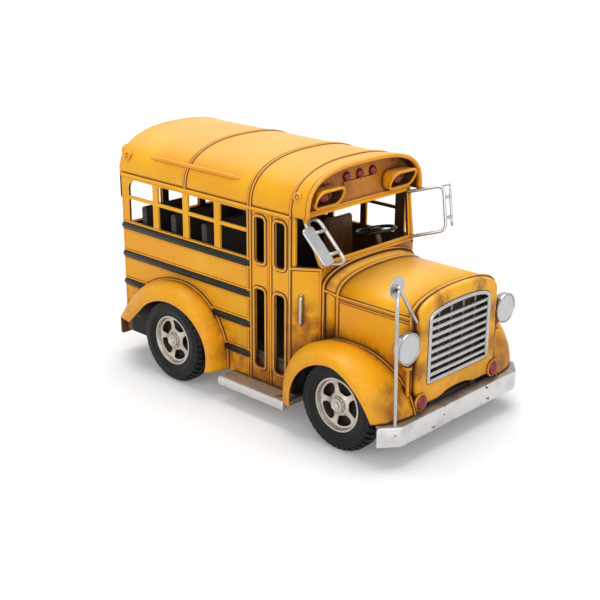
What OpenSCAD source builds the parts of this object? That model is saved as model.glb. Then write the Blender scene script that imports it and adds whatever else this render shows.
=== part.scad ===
// Toy bus in painted tinplate, in millimetres
// +X is the direction of travel, +Y the driver's side, +Z up, with the ground at z = 0

/* [Overall] */
// Length from the rear lamp hoods to the front bumper
overall_l = 171; // [169:1:174]
// Front axle to the front face of the bumper
front_overhang = 27.5; // [26.5:0.5:28.5]
// Rear axle to the ends of the rear lamp hoods
rear_overhang = 47.5; // [46.5:0.5:48.5]
// Width over the two side panels
body_w = 71; // [69:0.5:71.5]
// Thickness of the pressed sheet
sheet_t = 1; // [0.8:0.1:1.2]

/* [Wheels] */
// Diameter of the tyres
tyre_d = 38; // [36:0.5:39]
// Width of a tyre
tyre_w = 8.8; // [8:0.2:9]
// Gap between the body sides and the tyres
tyre_gap = 0.3; // [0.3:0.1:0.6]
// Diameter of the metal wheel where the tyre sits
rim_d = 22.2; // [20:0.2:24]
// Number of windows in the wheel disc
spoke_n = 5; // [4:1:7]
// Number of tread blocks around a tyre
tread_n = 30; // [20:1:40]
// Diameter of the axles
axle_d = 3; // [2.5:0.1:3.5]
// Radial play of an axle in its bearings
axle_play = 0.08; // [0.05:0.01:0.1]

/* [Body sides] */
// Height of the lower edge of the body
sill_z = 11.4; // [10.5:0.1:12]
// Height of the drip rail, where the roof begins
drip_z = 85.8; // [84:0.2:88]
// Height of the lower edge of the windows
belt_z = 64; // [63:0.2:65]
// Height of the windows
window_h = 19.4; // [17:0.2:20]
// Width of one side window
window_w = 16.3; // [15.5:0.1:16.5]
// Number of windows on the door side
window_n = 4; // [3:1:4]
// Width of a post between windows
post_w = 3.4; // [2.5:0.1:4]
// Width of the body corner behind the last window
rear_post_w = 4.7; // [4:0.1:6]
// Width of the post in front of the last window
door_post_w = 1.6; // [1:0.1:2]
// Height of one rub rail
rail_h = 2.8; // [2:0.1:3.5]
// How far a rub rail stands out
rail_depth = 0.8; // [0.5:0.1:1]
// Distance from one rub rail to the next
rail_pitch = 13.3; // [12.5:0.1:13.5]
// Number of rub rails on a side
rail_n = 4; // [2:1:4]
// Diameter of the wire beads
bead_d = 0.9; // [0.6:0.1:1.2]

/* [Door] */
// Width of the folding door, both leaves together
door_w = 22.6; // [21:0.2:24]
// Margin of frame around a door pane
door_frame = 2.7; // [2:0.1:3]
// Height of the panel between the upper and the lower panes
door_mid_h = 11; // [8:0.5:13]
// Corner radius of a door pane
pane_r = 1.6; // [1:0.1:2]

/* [Roof] */
// Rise of the roof above the drip rail
roof_h = 18.6; // [17:0.2:20]
// Fullness of the roof section
roof_power = 2.5; // [2:0.1:3]
// Overhang of the roof in front of the door
visor_reach = 5.3; // [4.5:0.1:6]
// Width of a roof rib
rib_w = 1.4; // [1:0.1:2]
// Height of a roof rib
rib_h = 0.5; // [0.3:0.1:0.8]
// Reach of the lamp hoods from the wall
hood_reach = 6.5; // [6:0.1:7.5]

/* [Front] */
// Length of the slanted body corner in front of the door
corner_l = 10.3; // [9.5:0.1:11]
// Width of the windshield at its foot
windshield_w = 56.8; // [55.5:0.2:58]
// Width of the hood
hood_w = 53; // [52:0.2:54]
// How far the radiator shell stands in from the side of the hood
shell_inset = 1.3; // [1:0.1:2.5]
// Length of the cowl between windshield and hood
cowl_l = 7; // [6:0.2:8]
// Height of the seam along the side of the hood
hood_edge_z = 55.4; // [54:0.2:57]
// Height of the crown of the hood
hood_crown_z = 63.4; // [61:0.2:64.5]
// Width of the grille opening
grille_w = 38.8; // [36:0.2:40]
// Height of the lower edge of the grille
grille_z = 27.7; // [26.5:0.1:29]
// Height of the grille at its sides
grille_side_h = 25.8; // [22:0.2:27]
// Extra height of the grille in the middle
grille_rise = 4.4; // [3:0.2:5]
// Number of horizontal grille bars
grille_n = 8; // [5:1:10]
// Diameter of the headlight lenses
headlight_d = 11.9; // [11:0.1:12.2]
// Height of the headlights
headlight_z = 45.5; // [44:0.5:47]
// Gap between a headlight and the radiator shell
headlight_gap = 0.3; // [0.2:0.1:0.6]

/* [Bumpers] */
// Height of the bumpers
bumper_h = 8.5; // [7:0.1:9]
// Height of the upper edge of the bumpers
bumper_z = 17; // [16:0.1:17.4]
// Straight width of the front bumper
bumper_w = 75.8; // [74:0.2:78]
// Depth of the upper flange of the bumpers
bumper_flange = 4.5; // [3:0.1:5]

/* [Fenders] */
// How far the lips of the rear fenders stand out past the tyres
rear_fender_out = 1; // [0.8:0.1:2]
// How far the lips of the front fenders stand out past the tyres
front_fender_out = 2.8; // [2.4:0.1:4]
// Rise of the rear fender's seam above the axle
rear_fender_rise = 24.5; // [24:0.1:26]
// Rise of the front fender's seam above the axle
front_fender_rise = 18.5; // [18:0.1:20]

/* [Fittings] */
// Diameter of the mirror wires
wire_d = 1.2; // [1:0.1:1.4]
// Reach of the side mirror loops from the pillars
mirror_reach = 13; // [11:0.5:15]
// Length of a side mirror
mirror_l = 16; // [12:0.5:17]
// Width of a side mirror
mirror_w = 6.6; // [5:0.2:8]
// Diameter of the round mirror on the hood
disc_d = 8.4; // [7:0.2:9]
// Diameter of the steering wheel
steering_d = 18; // [16:0.5:19]

/* [Hidden] */
$fn = 48;
dome_fn = 180;
over = 0.5;
arc_steps = 32;

// Main stations along the bus
nose_x = overall_l / 2;
front_axle_x = nose_x - front_overhang;
rear_axle_x = rear_overhang - nose_x;
rear_x = hood_reach - overall_l / 2;
window_pitch = window_w + post_w;
first_window_x = rear_x + rear_post_w;
door_rear_x = first_window_x + window_n * window_pitch - post_w + door_post_w;
door_front_x = door_rear_x + door_w;
foot_x = door_front_x + corner_l;
hood_rear_x = foot_x + cowl_l;

// Body sizes
half_w = body_w / 2;
axle_z = tyre_d / 2;
inner_w = half_w - sheet_t;
bead_r = bead_d / 2;
window_r = 0.8;
rear_corner_r = 4.5;
axle_notch_r = 6;
sash_h = 1.5;
sash_t = 0.8;
sash_share = 0.54;
top_rail_z = belt_z - bead_r;
rear_pane_w = 19;
rear_pane_gap = 3.7;
rear_pane_sill = belt_z - 2 * bead_d;
emergency_pane_h = 15;
emergency_pane_z = rear_pane_sill - emergency_pane_h - 3 * bead_d;

// Chassis sizes
frame_w = 30;
frame_t = 3;
frame_h = 6.6;
frame_rise = 2.6;
frame_top_z = axle_z + frame_rise;
frame_z = frame_top_z - frame_h;
floor_z = frame_top_z + sheet_t;
cross_l = 5;
cross_n = 4;
belly_t = 1.2;
belly_gap = 6;
belly_w = frame_w - 2 * frame_t;

// Roof sizes
edge_r = 1.2;
roof_rear_x = rear_x - edge_r;
roof_front_x = door_front_x + visor_reach;
header_x = roof_front_x - edge_r - sheet_t;
header_gap = 1.2;
header_z = drip_z + header_gap;
drip_r = 0.8;
roof_bar_d = 1.6;
roof_bar_l = 57;
roof_bar_h = 9.2;
roof_bar_share = 0.75;
roof_bar_x = first_window_x + window_w * roof_bar_share;

// Lamps on the roof
lamp_y = 22.5;
lamp_z = 6.3;
lamp_r = 2.7;
lamp_base_l = 1.6;
lamp_w = 16;
lamp_hood_h = 8;
lamp_hood_r = 3.4;
lamp_hood_t = 0.8;
lamp_hood_cut = 3.6;
marker_r = 1.9;
marker_pitch = 8;
marker_rise = 11.8;
button_r = 1.5;
button_h = 0.9;
sign_w = 20;
sign_h = 7;
sign_t = 0.5;

// Windshield
foot_rise = 1.2;
foot_z = belt_z + foot_rise;
foot_w = windshield_w / 2;
pillar_flare = 4.4;
head_w = foot_w + pillar_flare;
rake = atan2(foot_x - header_x - sheet_t, header_z - foot_z);
windshield_l = (header_z - foot_z) / cos(rake);
windshield_bar = 2.2;
windshield_t = 1.2;

// Hood, radiator shell and grille
hood_half = hood_w / 2;
hood_power = 2.3;
shell_depth = 2.8;
shell_back = 3;
shell_x = nose_x - shell_back - shell_depth;
shell_half = hood_half - shell_inset;
shell_z = frame_top_z;
apron_rise = 2;
apron_w = 20;
grille_half = grille_w / 2;
grille_rim = 1.5;
grille_depth = 2.2;
bar_h = 1.5;
bar_depth = 1.4;
divider_n = 4;
divider_t = 0.7;
backing_t = 0.8;

// Headlights and signal lamps
headlight_r = headlight_d / 2;
headlight_rim = 0.4;
headlight_l = 5.5;
headlight_back = 2.4;
headlight_x = nose_x - headlight_back;
headlight_y = shell_half + headlight_gap + headlight_r + headlight_rim;
lens_t = 1.4;
stem_d = 2.4;
stem_drop = 10.5;
stem_gap = 0.3;
stem_x = shell_x - stem_gap - stem_d / 2;
signal_in = 1.6;
signal_y = shell_half - signal_in;
signal_rise = 4.6;
signal_z = bumper_z + signal_rise;
signal_r = 2.6;
signal_rim = 0.6;
signal_dome = 1;

// Bumpers
bumper_t = 1.2;
bumper_half = bumper_w / 2;
bumper_end = 7.2;
bumper_back = 6;
bumper_end_flange = 2.4;
rear_bumper_half = 37;
rear_bumper_gap = 2.8;
rear_bumper_x = rear_x - bumper_t - rear_bumper_gap;

// Fender curves, set out from the axle: the seam on the body and the lip
fender_steps = 36;
section_steps = 8;
rear_seam_back = 1.5;
rear_seam_drop = 4.5;
rear_seam_ahead = 28.5;
rear_seam_behind = 37;
rear_lip_drop = 1.7;
rear_lip_ahead = 24;
rear_lip_behind = 24.2;
rear_lip_rise = 18.3;
front_seam_back = 6;
front_seam_drop = 6;
front_seam_ahead = 31.5;
front_seam_behind = 27.5;
front_lip_back = 1;
front_lip_drop = 3.5;
front_lip_ahead = 24;
front_lip_behind = 22;
front_lip_rise = 17;
front_rear_power = 2.6;
front_swell = 3.4;
rear_swell = 0.6;
rear_tail_drop = 2;
front_tail_drop = 1.4;
rear_tail_z = axle_z + rear_tail_drop;
front_tail_z = axle_z + front_tail_drop;
rear_seam = [rear_axle_x - rear_seam_back, axle_z - rear_seam_drop, rear_seam_ahead, rear_seam_behind,
    rear_fender_rise + rear_seam_drop, 2, 2];
rear_lip = [rear_axle_x, axle_z - rear_lip_drop, rear_lip_ahead, rear_lip_behind,
    rear_lip_rise + rear_lip_drop, 2, 2];
front_seam = [front_axle_x - front_seam_back, axle_z - front_seam_drop, front_seam_ahead, front_seam_behind,
    front_fender_rise + front_seam_drop, 2, front_rear_power];
front_lip = [front_axle_x - front_lip_back, axle_z - front_lip_drop, front_lip_ahead, front_lip_behind,
    front_lip_rise + front_lip_drop, 2, 2];

// Running boards
board_t = 2.4;
board_w = 45.4;
board_in = 8;
board_rear_gap = 30;
board_front_gap = 27;
board_rear_x = rear_axle_x + board_rear_gap;
board_front_x = front_axle_x - board_front_gap;

// Wheel details
tyre_r = tyre_d / 2;
rim_r = rim_d / 2;
axle_r = axle_d / 2;
wheel_in = half_w + tyre_gap;
wheel_out = wheel_in + tyre_w;
shoulder_r = 2.4;
tread_l = 1.6;
tread_gap = 0.9;
tread_depth = 0.6;
rim_t = 1.5;
rim_step = 0.9;
rim_inset = 0.9;
disc_t = 1.4;
disc_inset = 3;
hub_r = 3.4;
hub_l = 2.2;
cap_r = 2.2;
cap_l = 0.9;
spoke_w = 2.6;
spoke_in = 4.5;
spoke_gap = 0.6;
spoke_out = rim_r - rim_t - spoke_gap;

// Mirrors and handle
wire_r = wire_d / 2;
right_stub = 5.5;
left_stub = 4;
mirror_t = 0.9;
mirror_r = 1.4;
right_turn = 8;
left_turn = -36;
right_top_share = 0.46;
left_top_share = 1;
right_splay = 0;
left_splay = 8;
loop_r = 2.6;
elbow_share = 1.08;
loop_shares = [0.88, 0.06];
post_back = 2.3;
post_lean = 1;
post_drop = 4.6;
post_gap = 0.4;
post_y = headlight_y + headlight_r + headlight_rim + post_gap + wire_r;
hood_mirror_rise = 6.5;
hood_mirror_back = 5.5;
hood_mirror_y = 35.8;
hood_mirror_z = hood_crown_z + hood_mirror_rise;
handle_l = 11;
handle_drop = 16.5;
handle_z = belt_z - handle_drop;
handle_off = 1.6;
handle_share = 0.36;

// Cabin
seat_w = 25;
seat_l = 12;
seat_h = 14;
seat_back_h = 34;
seat_t = 3;
seat_tilt = 1.5;
seat_n = 3;
seat_gap = 0.6;
driver_w = 15;
driver_y = 18;
driver_back_h = 33;
dash_l = 5;
dash_h = 9;
dash_drop = 11;
dash_z = belt_z - dash_drop;
dash_gap = 2.4;
dash_half = foot_w - sheet_t - dash_gap;
column_d = 2.4;
column_tilt = 20;
steering_rise = 5.6;
steering_z = belt_z + steering_rise;
steering_y = 17;
steering_back = 10.5;
steering_t = 1.5;
steering_hub_r = 2.2;

yellow = "#eba41f";
black = "#1d1c1c";
silver = "#c9c7c2";
red = "#7c1512";
brown = "#5a3210";

// Half a superellipse from +w to -w, h high
function arch(w, h, power) = [for (i = [0:arc_steps]) let (a = 180 * i / arc_steps)
    [w * sign(cos(a)) * pow(abs(cos(a)), 2 / power), h * pow(sin(a), 2 / power)]];
function raised(points, z) = [for (p = points) [p[0], p[1] + z]];
function reversed(list) = [for (i = [len(list) - 1:-1:0]) list[i]];
function at_x(points, x) = [for (p = points) [x, p[0], p[1]]];
function between(a, b, share) = a + (b - a) * share;
function unit(v) = v / norm(v);

// Half width of the roof at a height above the drip rail
function roof_half(h) = half_w * pow(1 - pow(h / roof_h, roof_power), 1 / roof_power);
function corner_y(x) = between(half_w, foot_w, (x - door_front_x) / corner_l);
function window_x(i) = first_window_x + i * window_pitch;

module along_x(x0, x1) { translate([x0, 0, 0]) rotate([90, 0, 90]) linear_extrude(x1 - x0) children(); }
module along_y(y0, y1) { translate([0, y1, 0]) rotate([90, 0, 0]) linear_extrude(y1 - y0) children(); }
module along_z(z0, z1) { translate([0, 0, z0]) linear_extrude(z1 - z0) children(); }
module both_sides() { children(); mirror([0, 1, 0]) children(); }
module left() { mirror([0, 1, 0]) children(); }
module box(from, to) { translate(from) cube(to - from); }
module plate(from, to) { translate(from) square(to - from); }

// Rectangle with round corners, from its lower left corner
module round_rect(size, r) {
    translate([r, 0]) square([size[0] - 2 * r, size[1]]);
    translate([0, r]) square([size[0], size[1] - 2 * r]);
    for (x = [r, size[0] - r], y = [r, size[1] - r]) translate([x, y]) circle(r);
}

module round_ring(size, r, t) {
    difference() {
        translate([-t, -t]) round_rect([size[0] + 2 * t, size[1] + 2 * t], r + t);
        round_rect(size, r);
    }
}

// Straight rod between two points
module rod(a, b, d) {
    v = b - a;
    translate(a) rotate([0, acos(v[2] / norm(v)), atan2(v[1], v[0])]) cylinder(h = norm(v), d = d);
}

// Bent wire through a list of points
module wire(points, d) {
    for (i = [0:len(points) - 2]) rod(points[i], points[i + 1], d);
    for (i = [1:len(points) - 2]) translate(points[i]) sphere(d = d * elbow_share);
}

// Sheet through rings of points, each an outer row and then the inner row back
module loft(rings) {
    n = len(rings[0]);
    last = (len(rings) - 1) * n;
    sides = [for (i = [0:len(rings) - 2], j = [0:n - 1]) let (k = (j + 1) % n, a = i * n)
        each [[a + j, a + k, a + n + k], [a + j, a + n + k, a + n + j]]];
    first_end = [for (j = [0:n / 2 - 2]) let (k = n - 1 - j) each [[j + 1, j, k], [j + 1, k, k - 1]]];
    last_end = [for (f = first_end) [f[2] + last, f[1] + last, f[0] + last]];
    polyhedron([for (r = rings) each r], concat(sides, first_end, last_end));
}

// Half width of the body and the hood along the bus
function body_half(x) = x < door_front_x ? half_w : x < foot_x ? corner_y(x)
    : x < hood_rear_x ? between(foot_w, hood_half, (x - foot_x) / cowl_l) : hood_half;

// Plan of the floor, inside the panels
module floor_plan() {
    front_w = hood_half - sheet_t;
    polygon([[rear_x + sheet_t, -inner_w], [door_front_x, -inner_w], [foot_x, -foot_w + sheet_t],
        [hood_rear_x, -front_w], [shell_x, -front_w], [shell_x, front_w], [hood_rear_x, front_w],
        [foot_x, foot_w - sheet_t], [door_front_x, inner_w], [rear_x + sheet_t, inner_w]]);
}

// Ladder frame with the axle bearings and the belly plate
module chassis_frame() {
    span = nose_x - bumper_t - rear_bumper_x - bumper_t;
    rear_end = rear_bumper_x + bumper_t;
    color(brown) difference() {
        union() {
            both_sides() box([rear_end, -frame_w / 2, frame_z],
                [rear_end + span, frame_t - frame_w / 2, frame_top_z]);
            for (i = [0:cross_n - 1]) let (x = rear_end + cross_l + i * (span - 3 * cross_l) / (cross_n - 1))
                box([x, -belly_w / 2, frame_z], [x + cross_l, belly_w / 2, frame_z + frame_t]);
            box([rear_axle_x + belly_gap, -belly_w / 2, frame_z],
                [front_axle_x - belly_gap, belly_w / 2, frame_z + belly_t]);
        }
        for (x = [front_axle_x, rear_axle_x]) translate([x, 0, axle_z]) rotate([90, 0, 0])
            cylinder(h = frame_w + 2 * over, r = axle_r + axle_play, center = true);
    }
}

module floor_pan() { color(brown) along_z(frame_top_z, floor_z) floor_plan(); }

// Side window with its upper rear corner rounded on the last bay
module side_window(i) {
    translate([window_x(i), belt_z]) difference() {
        round_rect([window_w, window_h], window_r);
        if (i == 0) difference() {
            plate([-over, window_h - rear_corner_r], [rear_corner_r, window_h + over]);
            translate([rear_corner_r, window_h - rear_corner_r]) circle(rear_corner_r);
        }
    }
}

// Region of the side wall that a rear fender covers
module rear_fender_shadow() {
    polygon([for (i = [0:fender_steps]) bow_point(rear_seam, sill_z, rear_tail_z, i / fender_steps)]);
}

// Pressed beads above and below each rub rail
module side_beads(x1) {
    difference() {
        for (i = [0:rail_n - 1], below = [0, rail_h + bead_d]) let (z = top_rail_z - i * rail_pitch - below)
            rod([rear_x, -half_w, z], [x1, -half_w, z], bead_d);
        along_y(-half_w - bead_d, -inner_w) rear_fender_shadow();
    }
}

module side_sheet(x1, windows) {
    color(yellow) {
        along_y(-half_w, -inner_w) difference() {
            plate([rear_x, sill_z], [x1, drip_z]);
            for (i = [0:windows - 1]) side_window(i);
            translate([rear_axle_x, axle_z]) circle(axle_notch_r);
            plate([rear_axle_x - axle_notch_r, sill_z - over], [rear_axle_x + axle_notch_r, axle_z]);
        }
        side_beads(x1);
    }
}

module right_side_panel() { side_sheet(door_rear_x, window_n); }
module left_side_panel() { left() side_sheet(door_front_x, window_n + 1); }

// Black half-round rails between the beads
module rub_rails(x1) {
    half_h = rail_h / 2;
    r = (half_h * half_h + rail_depth * rail_depth) / (2 * rail_depth);
    color(black) difference() {
        for (i = [0:rail_n - 1]) let (z = top_rail_z - i * rail_pitch - bead_r - half_h)
            along_x_at(rear_x, x1, r - rail_depth - half_w, z, r);
        box([rear_x - over, -half_w, sill_z], [x1 + over, half_w, drip_z]);
        along_y(-half_w - 2 * rail_depth, -half_w) rear_fender_shadow();
    }
}

module along_x_at(x0, x1, y, z, r) { translate([x0, y, z]) rotate([0, 90, 0]) cylinder(h = x1 - x0, r = r); }

module right_rub_rails() { rub_rails(door_rear_x); }
module left_rub_rails() { left() rub_rails(door_front_x - door_post_w); }

// Thin bars across the windows
module sash_bars(windows) {
    z = belt_z + window_h * sash_share;
    color(yellow) for (i = [0:windows - 1])
        box([window_x(i), -half_w, z], [window_x(i) + window_w, sash_t - half_w, z + sash_h]);
}

module right_sash_bars() { sash_bars(window_n); }
module left_sash_bars() { left() sash_bars(window_n + 1); }

// Rear wall with three panes and an emergency door pane below the middle one
module rear_panel() {
    step = rear_pane_w + rear_pane_gap;
    color(yellow) {
        along_x(rear_x, rear_x + sheet_t) difference() {
            union() {
                plate([-inner_w, sill_z], [inner_w, drip_z]);
                polygon(raised(arch(inner_w, roof_h - sheet_t, roof_power), drip_z));
            }
            for (i = [-1:1]) translate([i * step - rear_pane_w / 2, rear_pane_sill])
                round_rect([rear_pane_w, window_h], window_r);
            translate([-rear_pane_w / 2, emergency_pane_z])
                round_rect([rear_pane_w, emergency_pane_h], pane_r);
            for (y = [-frame_w / 2, frame_w / 2 - frame_t])
                plate([y, sill_z - over], [y + frame_t, frame_top_z]);
        }
        for (y = [-step / 2, step / 2])
            rod([rear_x, y, frame_top_z + bead_r], [rear_x, y, rear_pane_sill], bead_d);
    }
}

// Slanted corner between the door and the cowl, with the post beside the door
module corner_panel() {
    top_z = foot_z - sheet_t;
    post_x = door_front_x + door_post_w;
    color(yellow) {
        along_z(sill_z, top_z) polygon([[door_front_x, -half_w], [foot_x, -foot_w],
            [foot_x, -foot_w + sheet_t], [door_front_x, -inner_w]]);
        along_z(top_z, drip_z) polygon([[door_front_x, -half_w], [post_x, -corner_y(post_x)],
            [post_x, sheet_t - corner_y(post_x)], [door_front_x, -inner_w]]);
    }
}

module right_corner_panel() { corner_panel(); }
module left_corner_panel() { left() corner_panel(); }

// One leaf of the folding door, with a tall lower pane and a shorter upper one
module door_leaf(x0, x1) {
    pane_w = x1 - x0 - 2 * door_frame;
    upper_z = belt_z - bead_d;
    upper_h = drip_z - door_frame - bead_d - upper_z;
    lower_z = sill_z + 2 * door_frame + bead_d;
    lower_h = upper_z - door_mid_h - lower_z;
    panes = [[upper_z, upper_h], [lower_z, lower_h]];
    color(yellow) {
        along_y(-half_w, -inner_w) difference() {
            plate([x0, sill_z], [x1, drip_z]);
            for (p = panes) translate([x0 + door_frame, p[0]]) round_rect([pane_w, p[1]], pane_r);
        }
        along_y(-half_w - bead_r, -half_w) for (p = panes)
            translate([x0 + door_frame, p[0]]) round_ring([pane_w, p[1]], pane_r, bead_d);
        rod([x0 + bead_r, -half_w, sill_z], [x0 + bead_r, -half_w, drip_z - 2 * drip_r], bead_d);
    }
}

module door_rear_leaf() { door_leaf(door_rear_x, door_rear_x + door_w / 2); }
module door_front_leaf() { door_leaf(door_rear_x + door_w / 2, door_front_x); }

// Raked frame around the open windshield, on a bulkhead that closes the cowl
module windshield_frame() {
    bulkhead_w = foot_w - sheet_t;
    color(yellow) {
        translate([foot_x, 0, foot_z]) rotate([0, -rake, 0]) along_x(-windshield_t, 0) difference() {
            polygon([[-foot_w, 0], [foot_w, 0], [head_w, windshield_l], [-head_w, windshield_l]]);
            polygon([[windshield_bar - foot_w, windshield_bar], [foot_w - windshield_bar, windshield_bar],
                [head_w - windshield_bar, windshield_l - windshield_bar],
                [windshield_bar - head_w, windshield_l - windshield_bar]]);
        }
        box([foot_x - sheet_t, -bulkhead_w, floor_z], [foot_x, bulkhead_w, foot_z]);
    }
}

// Board above the windshield, with a plain raised sign panel
module front_header() {
    color(yellow) {
        along_x(header_x, header_x + sheet_t) intersection() {
            polygon(raised(arch(inner_w, roof_h - sheet_t, roof_power), drip_z));
            plate([-half_w, header_z], [half_w, drip_z + roof_h]);
        }
        along_x(header_x + sheet_t, header_x + sheet_t + sign_t)
            translate([-sign_w / 2, drip_z + lamp_z - sign_h / 2]) round_rect([sign_w, sign_h], window_r);
    }
}

// Vaulted roof, drawn in at both ends
function roof_ring(x, inset) = concat(
    at_x(raised(arch(half_w - inset, roof_h - inset, roof_power), drip_z), x),
    at_x(reversed(raised(arch(inner_w - inset, roof_h - sheet_t - inset, roof_power), drip_z)), x));

module roof_shell() {
    turns = [0:30:90];
    rear = [for (b = turns) roof_ring(roof_rear_x + edge_r * (1 - cos(b)), edge_r * (1 - sin(b)))];
    front = [for (b = turns) roof_ring(roof_front_x - edge_r * (1 - sin(b)), edge_r * (1 - cos(b)))];
    color(yellow) loft(concat(rear, front));
}

module roof_solid() {
    along_x(rear_x, roof_front_x) polygon(raised(arch(half_w, roof_h, roof_power), drip_z));
}

// Raised straps over the roof and the long beads on its sides
module roof_ribs() {
    bar_y = roof_half(roof_bar_h);
    color(yellow) difference() {
        union() {
            for (x = [window_x(2) - post_w / 2, door_rear_x, door_front_x])
                along_x(x - rib_w / 2, x + rib_w / 2)
                    polygon(raised(arch(half_w + rib_h, roof_h + rib_h, roof_power), drip_z));
            both_sides()
                along_x_at(roof_bar_x, roof_bar_x + roof_bar_l, -bar_y, drip_z + roof_bar_h, roof_bar_d / 2);
        }
        roof_solid();
    }
}

module drip_rails() {
    color(yellow) both_sides() difference() {
        along_x_at(rear_x, door_front_x, -half_w, drip_z - drip_r, drip_r);
        box([rear_x - over, -half_w, sill_z], [door_front_x + over, half_w, drip_z + roof_h]);
    }
}

// Visors over the warning lamps, longer above than below
module lamp_hood() {
    z = drip_z + lamp_z - lamp_hood_h / 2;
    inner = [lamp_w - 2 * lamp_hood_t, lamp_hood_h - 2 * lamp_hood_t];
    difference() {
        along_x(0, hood_reach) translate([-lamp_w / 2, z]) difference() {
            round_rect([lamp_w, lamp_hood_h], lamp_hood_r);
            translate([lamp_hood_t, lamp_hood_t]) round_rect(inner, lamp_hood_r - lamp_hood_t);
        }
        along_y(-lamp_w, lamp_w) polygon([[hood_reach - lamp_hood_cut, z - over],
            [hood_reach + over, z - over], [hood_reach + over, z + lamp_hood_h],
            [hood_reach, z + lamp_hood_h]]);
    }
}

module at_roof_lamps() {
    both_sides() {
        translate([header_x + sheet_t, lamp_y, 0]) children();
        translate([rear_x, lamp_y, 0]) rotate([0, 0, 180]) children();
    }
}

module lamp_hoods() { color(yellow) at_roof_lamps() lamp_hood(); }

// Lens with a domed end, along +X
module lamp_lens(r, l, dome) {
    rotate([0, 90, 0]) {
        cylinder(h = l, r = r);
        translate([0, 0, l]) dome_cap(r, dome);
    }
}

// Cap of a sphere on a circle of radius r
module dome_cap(r, h) {
    ball = (r * r + h * h) / (2 * h);
    intersection() {
        cylinder(h = h, r = r);
        translate([0, 0, h - ball]) sphere(ball, $fn = dome_fn);
    }
}

module warning_lamps() {
    color(red) at_roof_lamps() translate([0, 0, drip_z + lamp_z]) lamp_lens(lamp_r, lamp_base_l, lamp_r / 2);
}

module marker_lamps() {
    color(red) for (i = [-1:1]) translate([header_x + sheet_t, i * marker_pitch, drip_z + marker_rise])
        lamp_lens(marker_r, lamp_base_l / 2, marker_r / 2);
}

// Small ringed lamps on the roof sides
module button_lamps() {
    z = lamp_z + lamp_r / 2;
    y = roof_half(z);
    lean = atan2(half_w - roof_half(z), z);
    color(yellow) difference() {
        both_sides() for (x = [rear_x + 2 * bead_d + button_r, door_front_x + visor_reach / 2])
            translate([x, -y, drip_z + z]) rotate([90 - lean, 0, 0])
                cylinder(h = 2 * button_h, r = button_r, center = true);
        roof_solid();
    }
}

// Cowl from the windshield foot to the hood
function cowl_ring(x, half, edge, crown, base) = concat(
    at_x(concat([[half, base]], raised(arch(half, crown - edge, hood_power), edge), [[-half, base]]), x),
    at_x(reversed(concat([[half - sheet_t, base]],
        raised(arch(half - sheet_t, crown - edge - sheet_t, hood_power), edge),
        [[sheet_t - half, base]])), x));

module cowl() {
    rise = foot_z - hood_crown_z;
    color(yellow) loft([cowl_ring(foot_x, foot_w, hood_edge_z + rise, foot_z, frame_top_z),
        cowl_ring(hood_rear_x, hood_half, hood_edge_z, hood_crown_z, frame_top_z)]);
}

module hood_section(half, inset) {
    polygon(raised(arch(half - inset, hood_crown_z - hood_edge_z - inset, hood_power), hood_edge_z));
}

module hood_top() {
    color(yellow) along_x(hood_rear_x, shell_x) difference() {
        hood_section(hood_half, 0);
        hood_section(hood_half, sheet_t);
    }
}

module hood_side() {
    color(yellow) {
        box([hood_rear_x, -hood_half, frame_top_z], [shell_x, sheet_t - hood_half, hood_edge_z]);
        rod([hood_rear_x, -hood_half, hood_edge_z - bead_r],
            [shell_x, -hood_half, hood_edge_z - bead_r], bead_d);
    }
}

module hood_right_side() { hood_side(); }
module hood_left_side() { left() hood_side(); }

// Outline of the grille, arched at the top
module grille_outline(inset) {
    half = grille_half - inset;
    z0 = grille_z + inset;
    z1 = grille_z + grille_side_h;
    plate([-half, z0], [half, z1]);
    polygon(raised(arch(half, grille_rise - inset, hood_power), z1));
}

// Front shell around the grille, with the apron below it
module radiator_shell() {
    color(yellow) along_x(shell_x, shell_x + shell_depth) difference() {
        union() {
            hood_section(shell_half, 0);
            plate([-shell_half, shell_z], [shell_half, hood_edge_z]);
        }
        grille_outline(0);
        translate([0, shell_z]) polygon(arch(apron_w / 2, apron_rise, 2));
    }
}

module grille_bars() {
    for (i = [1:grille_n]) let (z = grille_z + i * (grille_side_h + grille_rise / 2) / (grille_n + 1))
        plate([-grille_half, z - bar_h / 2], [grille_half, z + bar_h / 2]);
}

module grille_dividers() {
    for (i = [1:divider_n]) let (y = i * grille_w / (divider_n + 1) - grille_half)
        plate([y - divider_t / 2, grille_z], [y + divider_t / 2, grille_z + grille_side_h + grille_rise]);
}

// Bright grille: rim, horizontal bars and thin uprights behind them
module grille() {
    face_x = shell_x + shell_depth;
    color(silver) {
        along_x(face_x - grille_depth, face_x) difference() {
            grille_outline(0);
            grille_outline(grille_rim);
        }
        along_x(face_x - grille_depth + bar_depth / 2, face_x) intersection() {
            grille_outline(0);
            grille_bars();
        }
        along_x(face_x - grille_depth, face_x - grille_depth + bar_depth) intersection() {
            grille_outline(0);
            grille_dividers();
        }
    }
}

module grille_backing() { color(black) along_x(shell_x - backing_t, shell_x) grille_outline(-grille_rim); }

// A bow is the curve of a fender at one distance from the body:
// centre x, centre z, length ahead of the centre, length behind it, rise, power ahead, power behind
function bow(seam, lip, s, swell, skin) = let (k = cos(s))
    lip + (seam - lip) * k + [0, 0, -skin * k, -skin * k, swell * sin(2 * s) - skin * k, 0, 0];
function signed_pow(v, power) = sign(v) * pow(abs(v), power);
function bow_end(b, z, power) = asin(signed_pow((z - b[1]) / b[4], power / 2));

// Point at a share of the way along a bow, between the heights of its two ends
function bow_point(b, front_z, rear_z, share) =
    let (t = between(bow_end(b, front_z, b[5]), 180 - bow_end(b, rear_z, b[6]), share),
        power = cos(t) > 0 ? b[5] : b[6])
    [b[0] + (cos(t) > 0 ? b[2] : b[3]) * signed_pow(cos(t), 2 / power),
        b[1] + b[4] * signed_pow(sin(t), 2 / power)];

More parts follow.
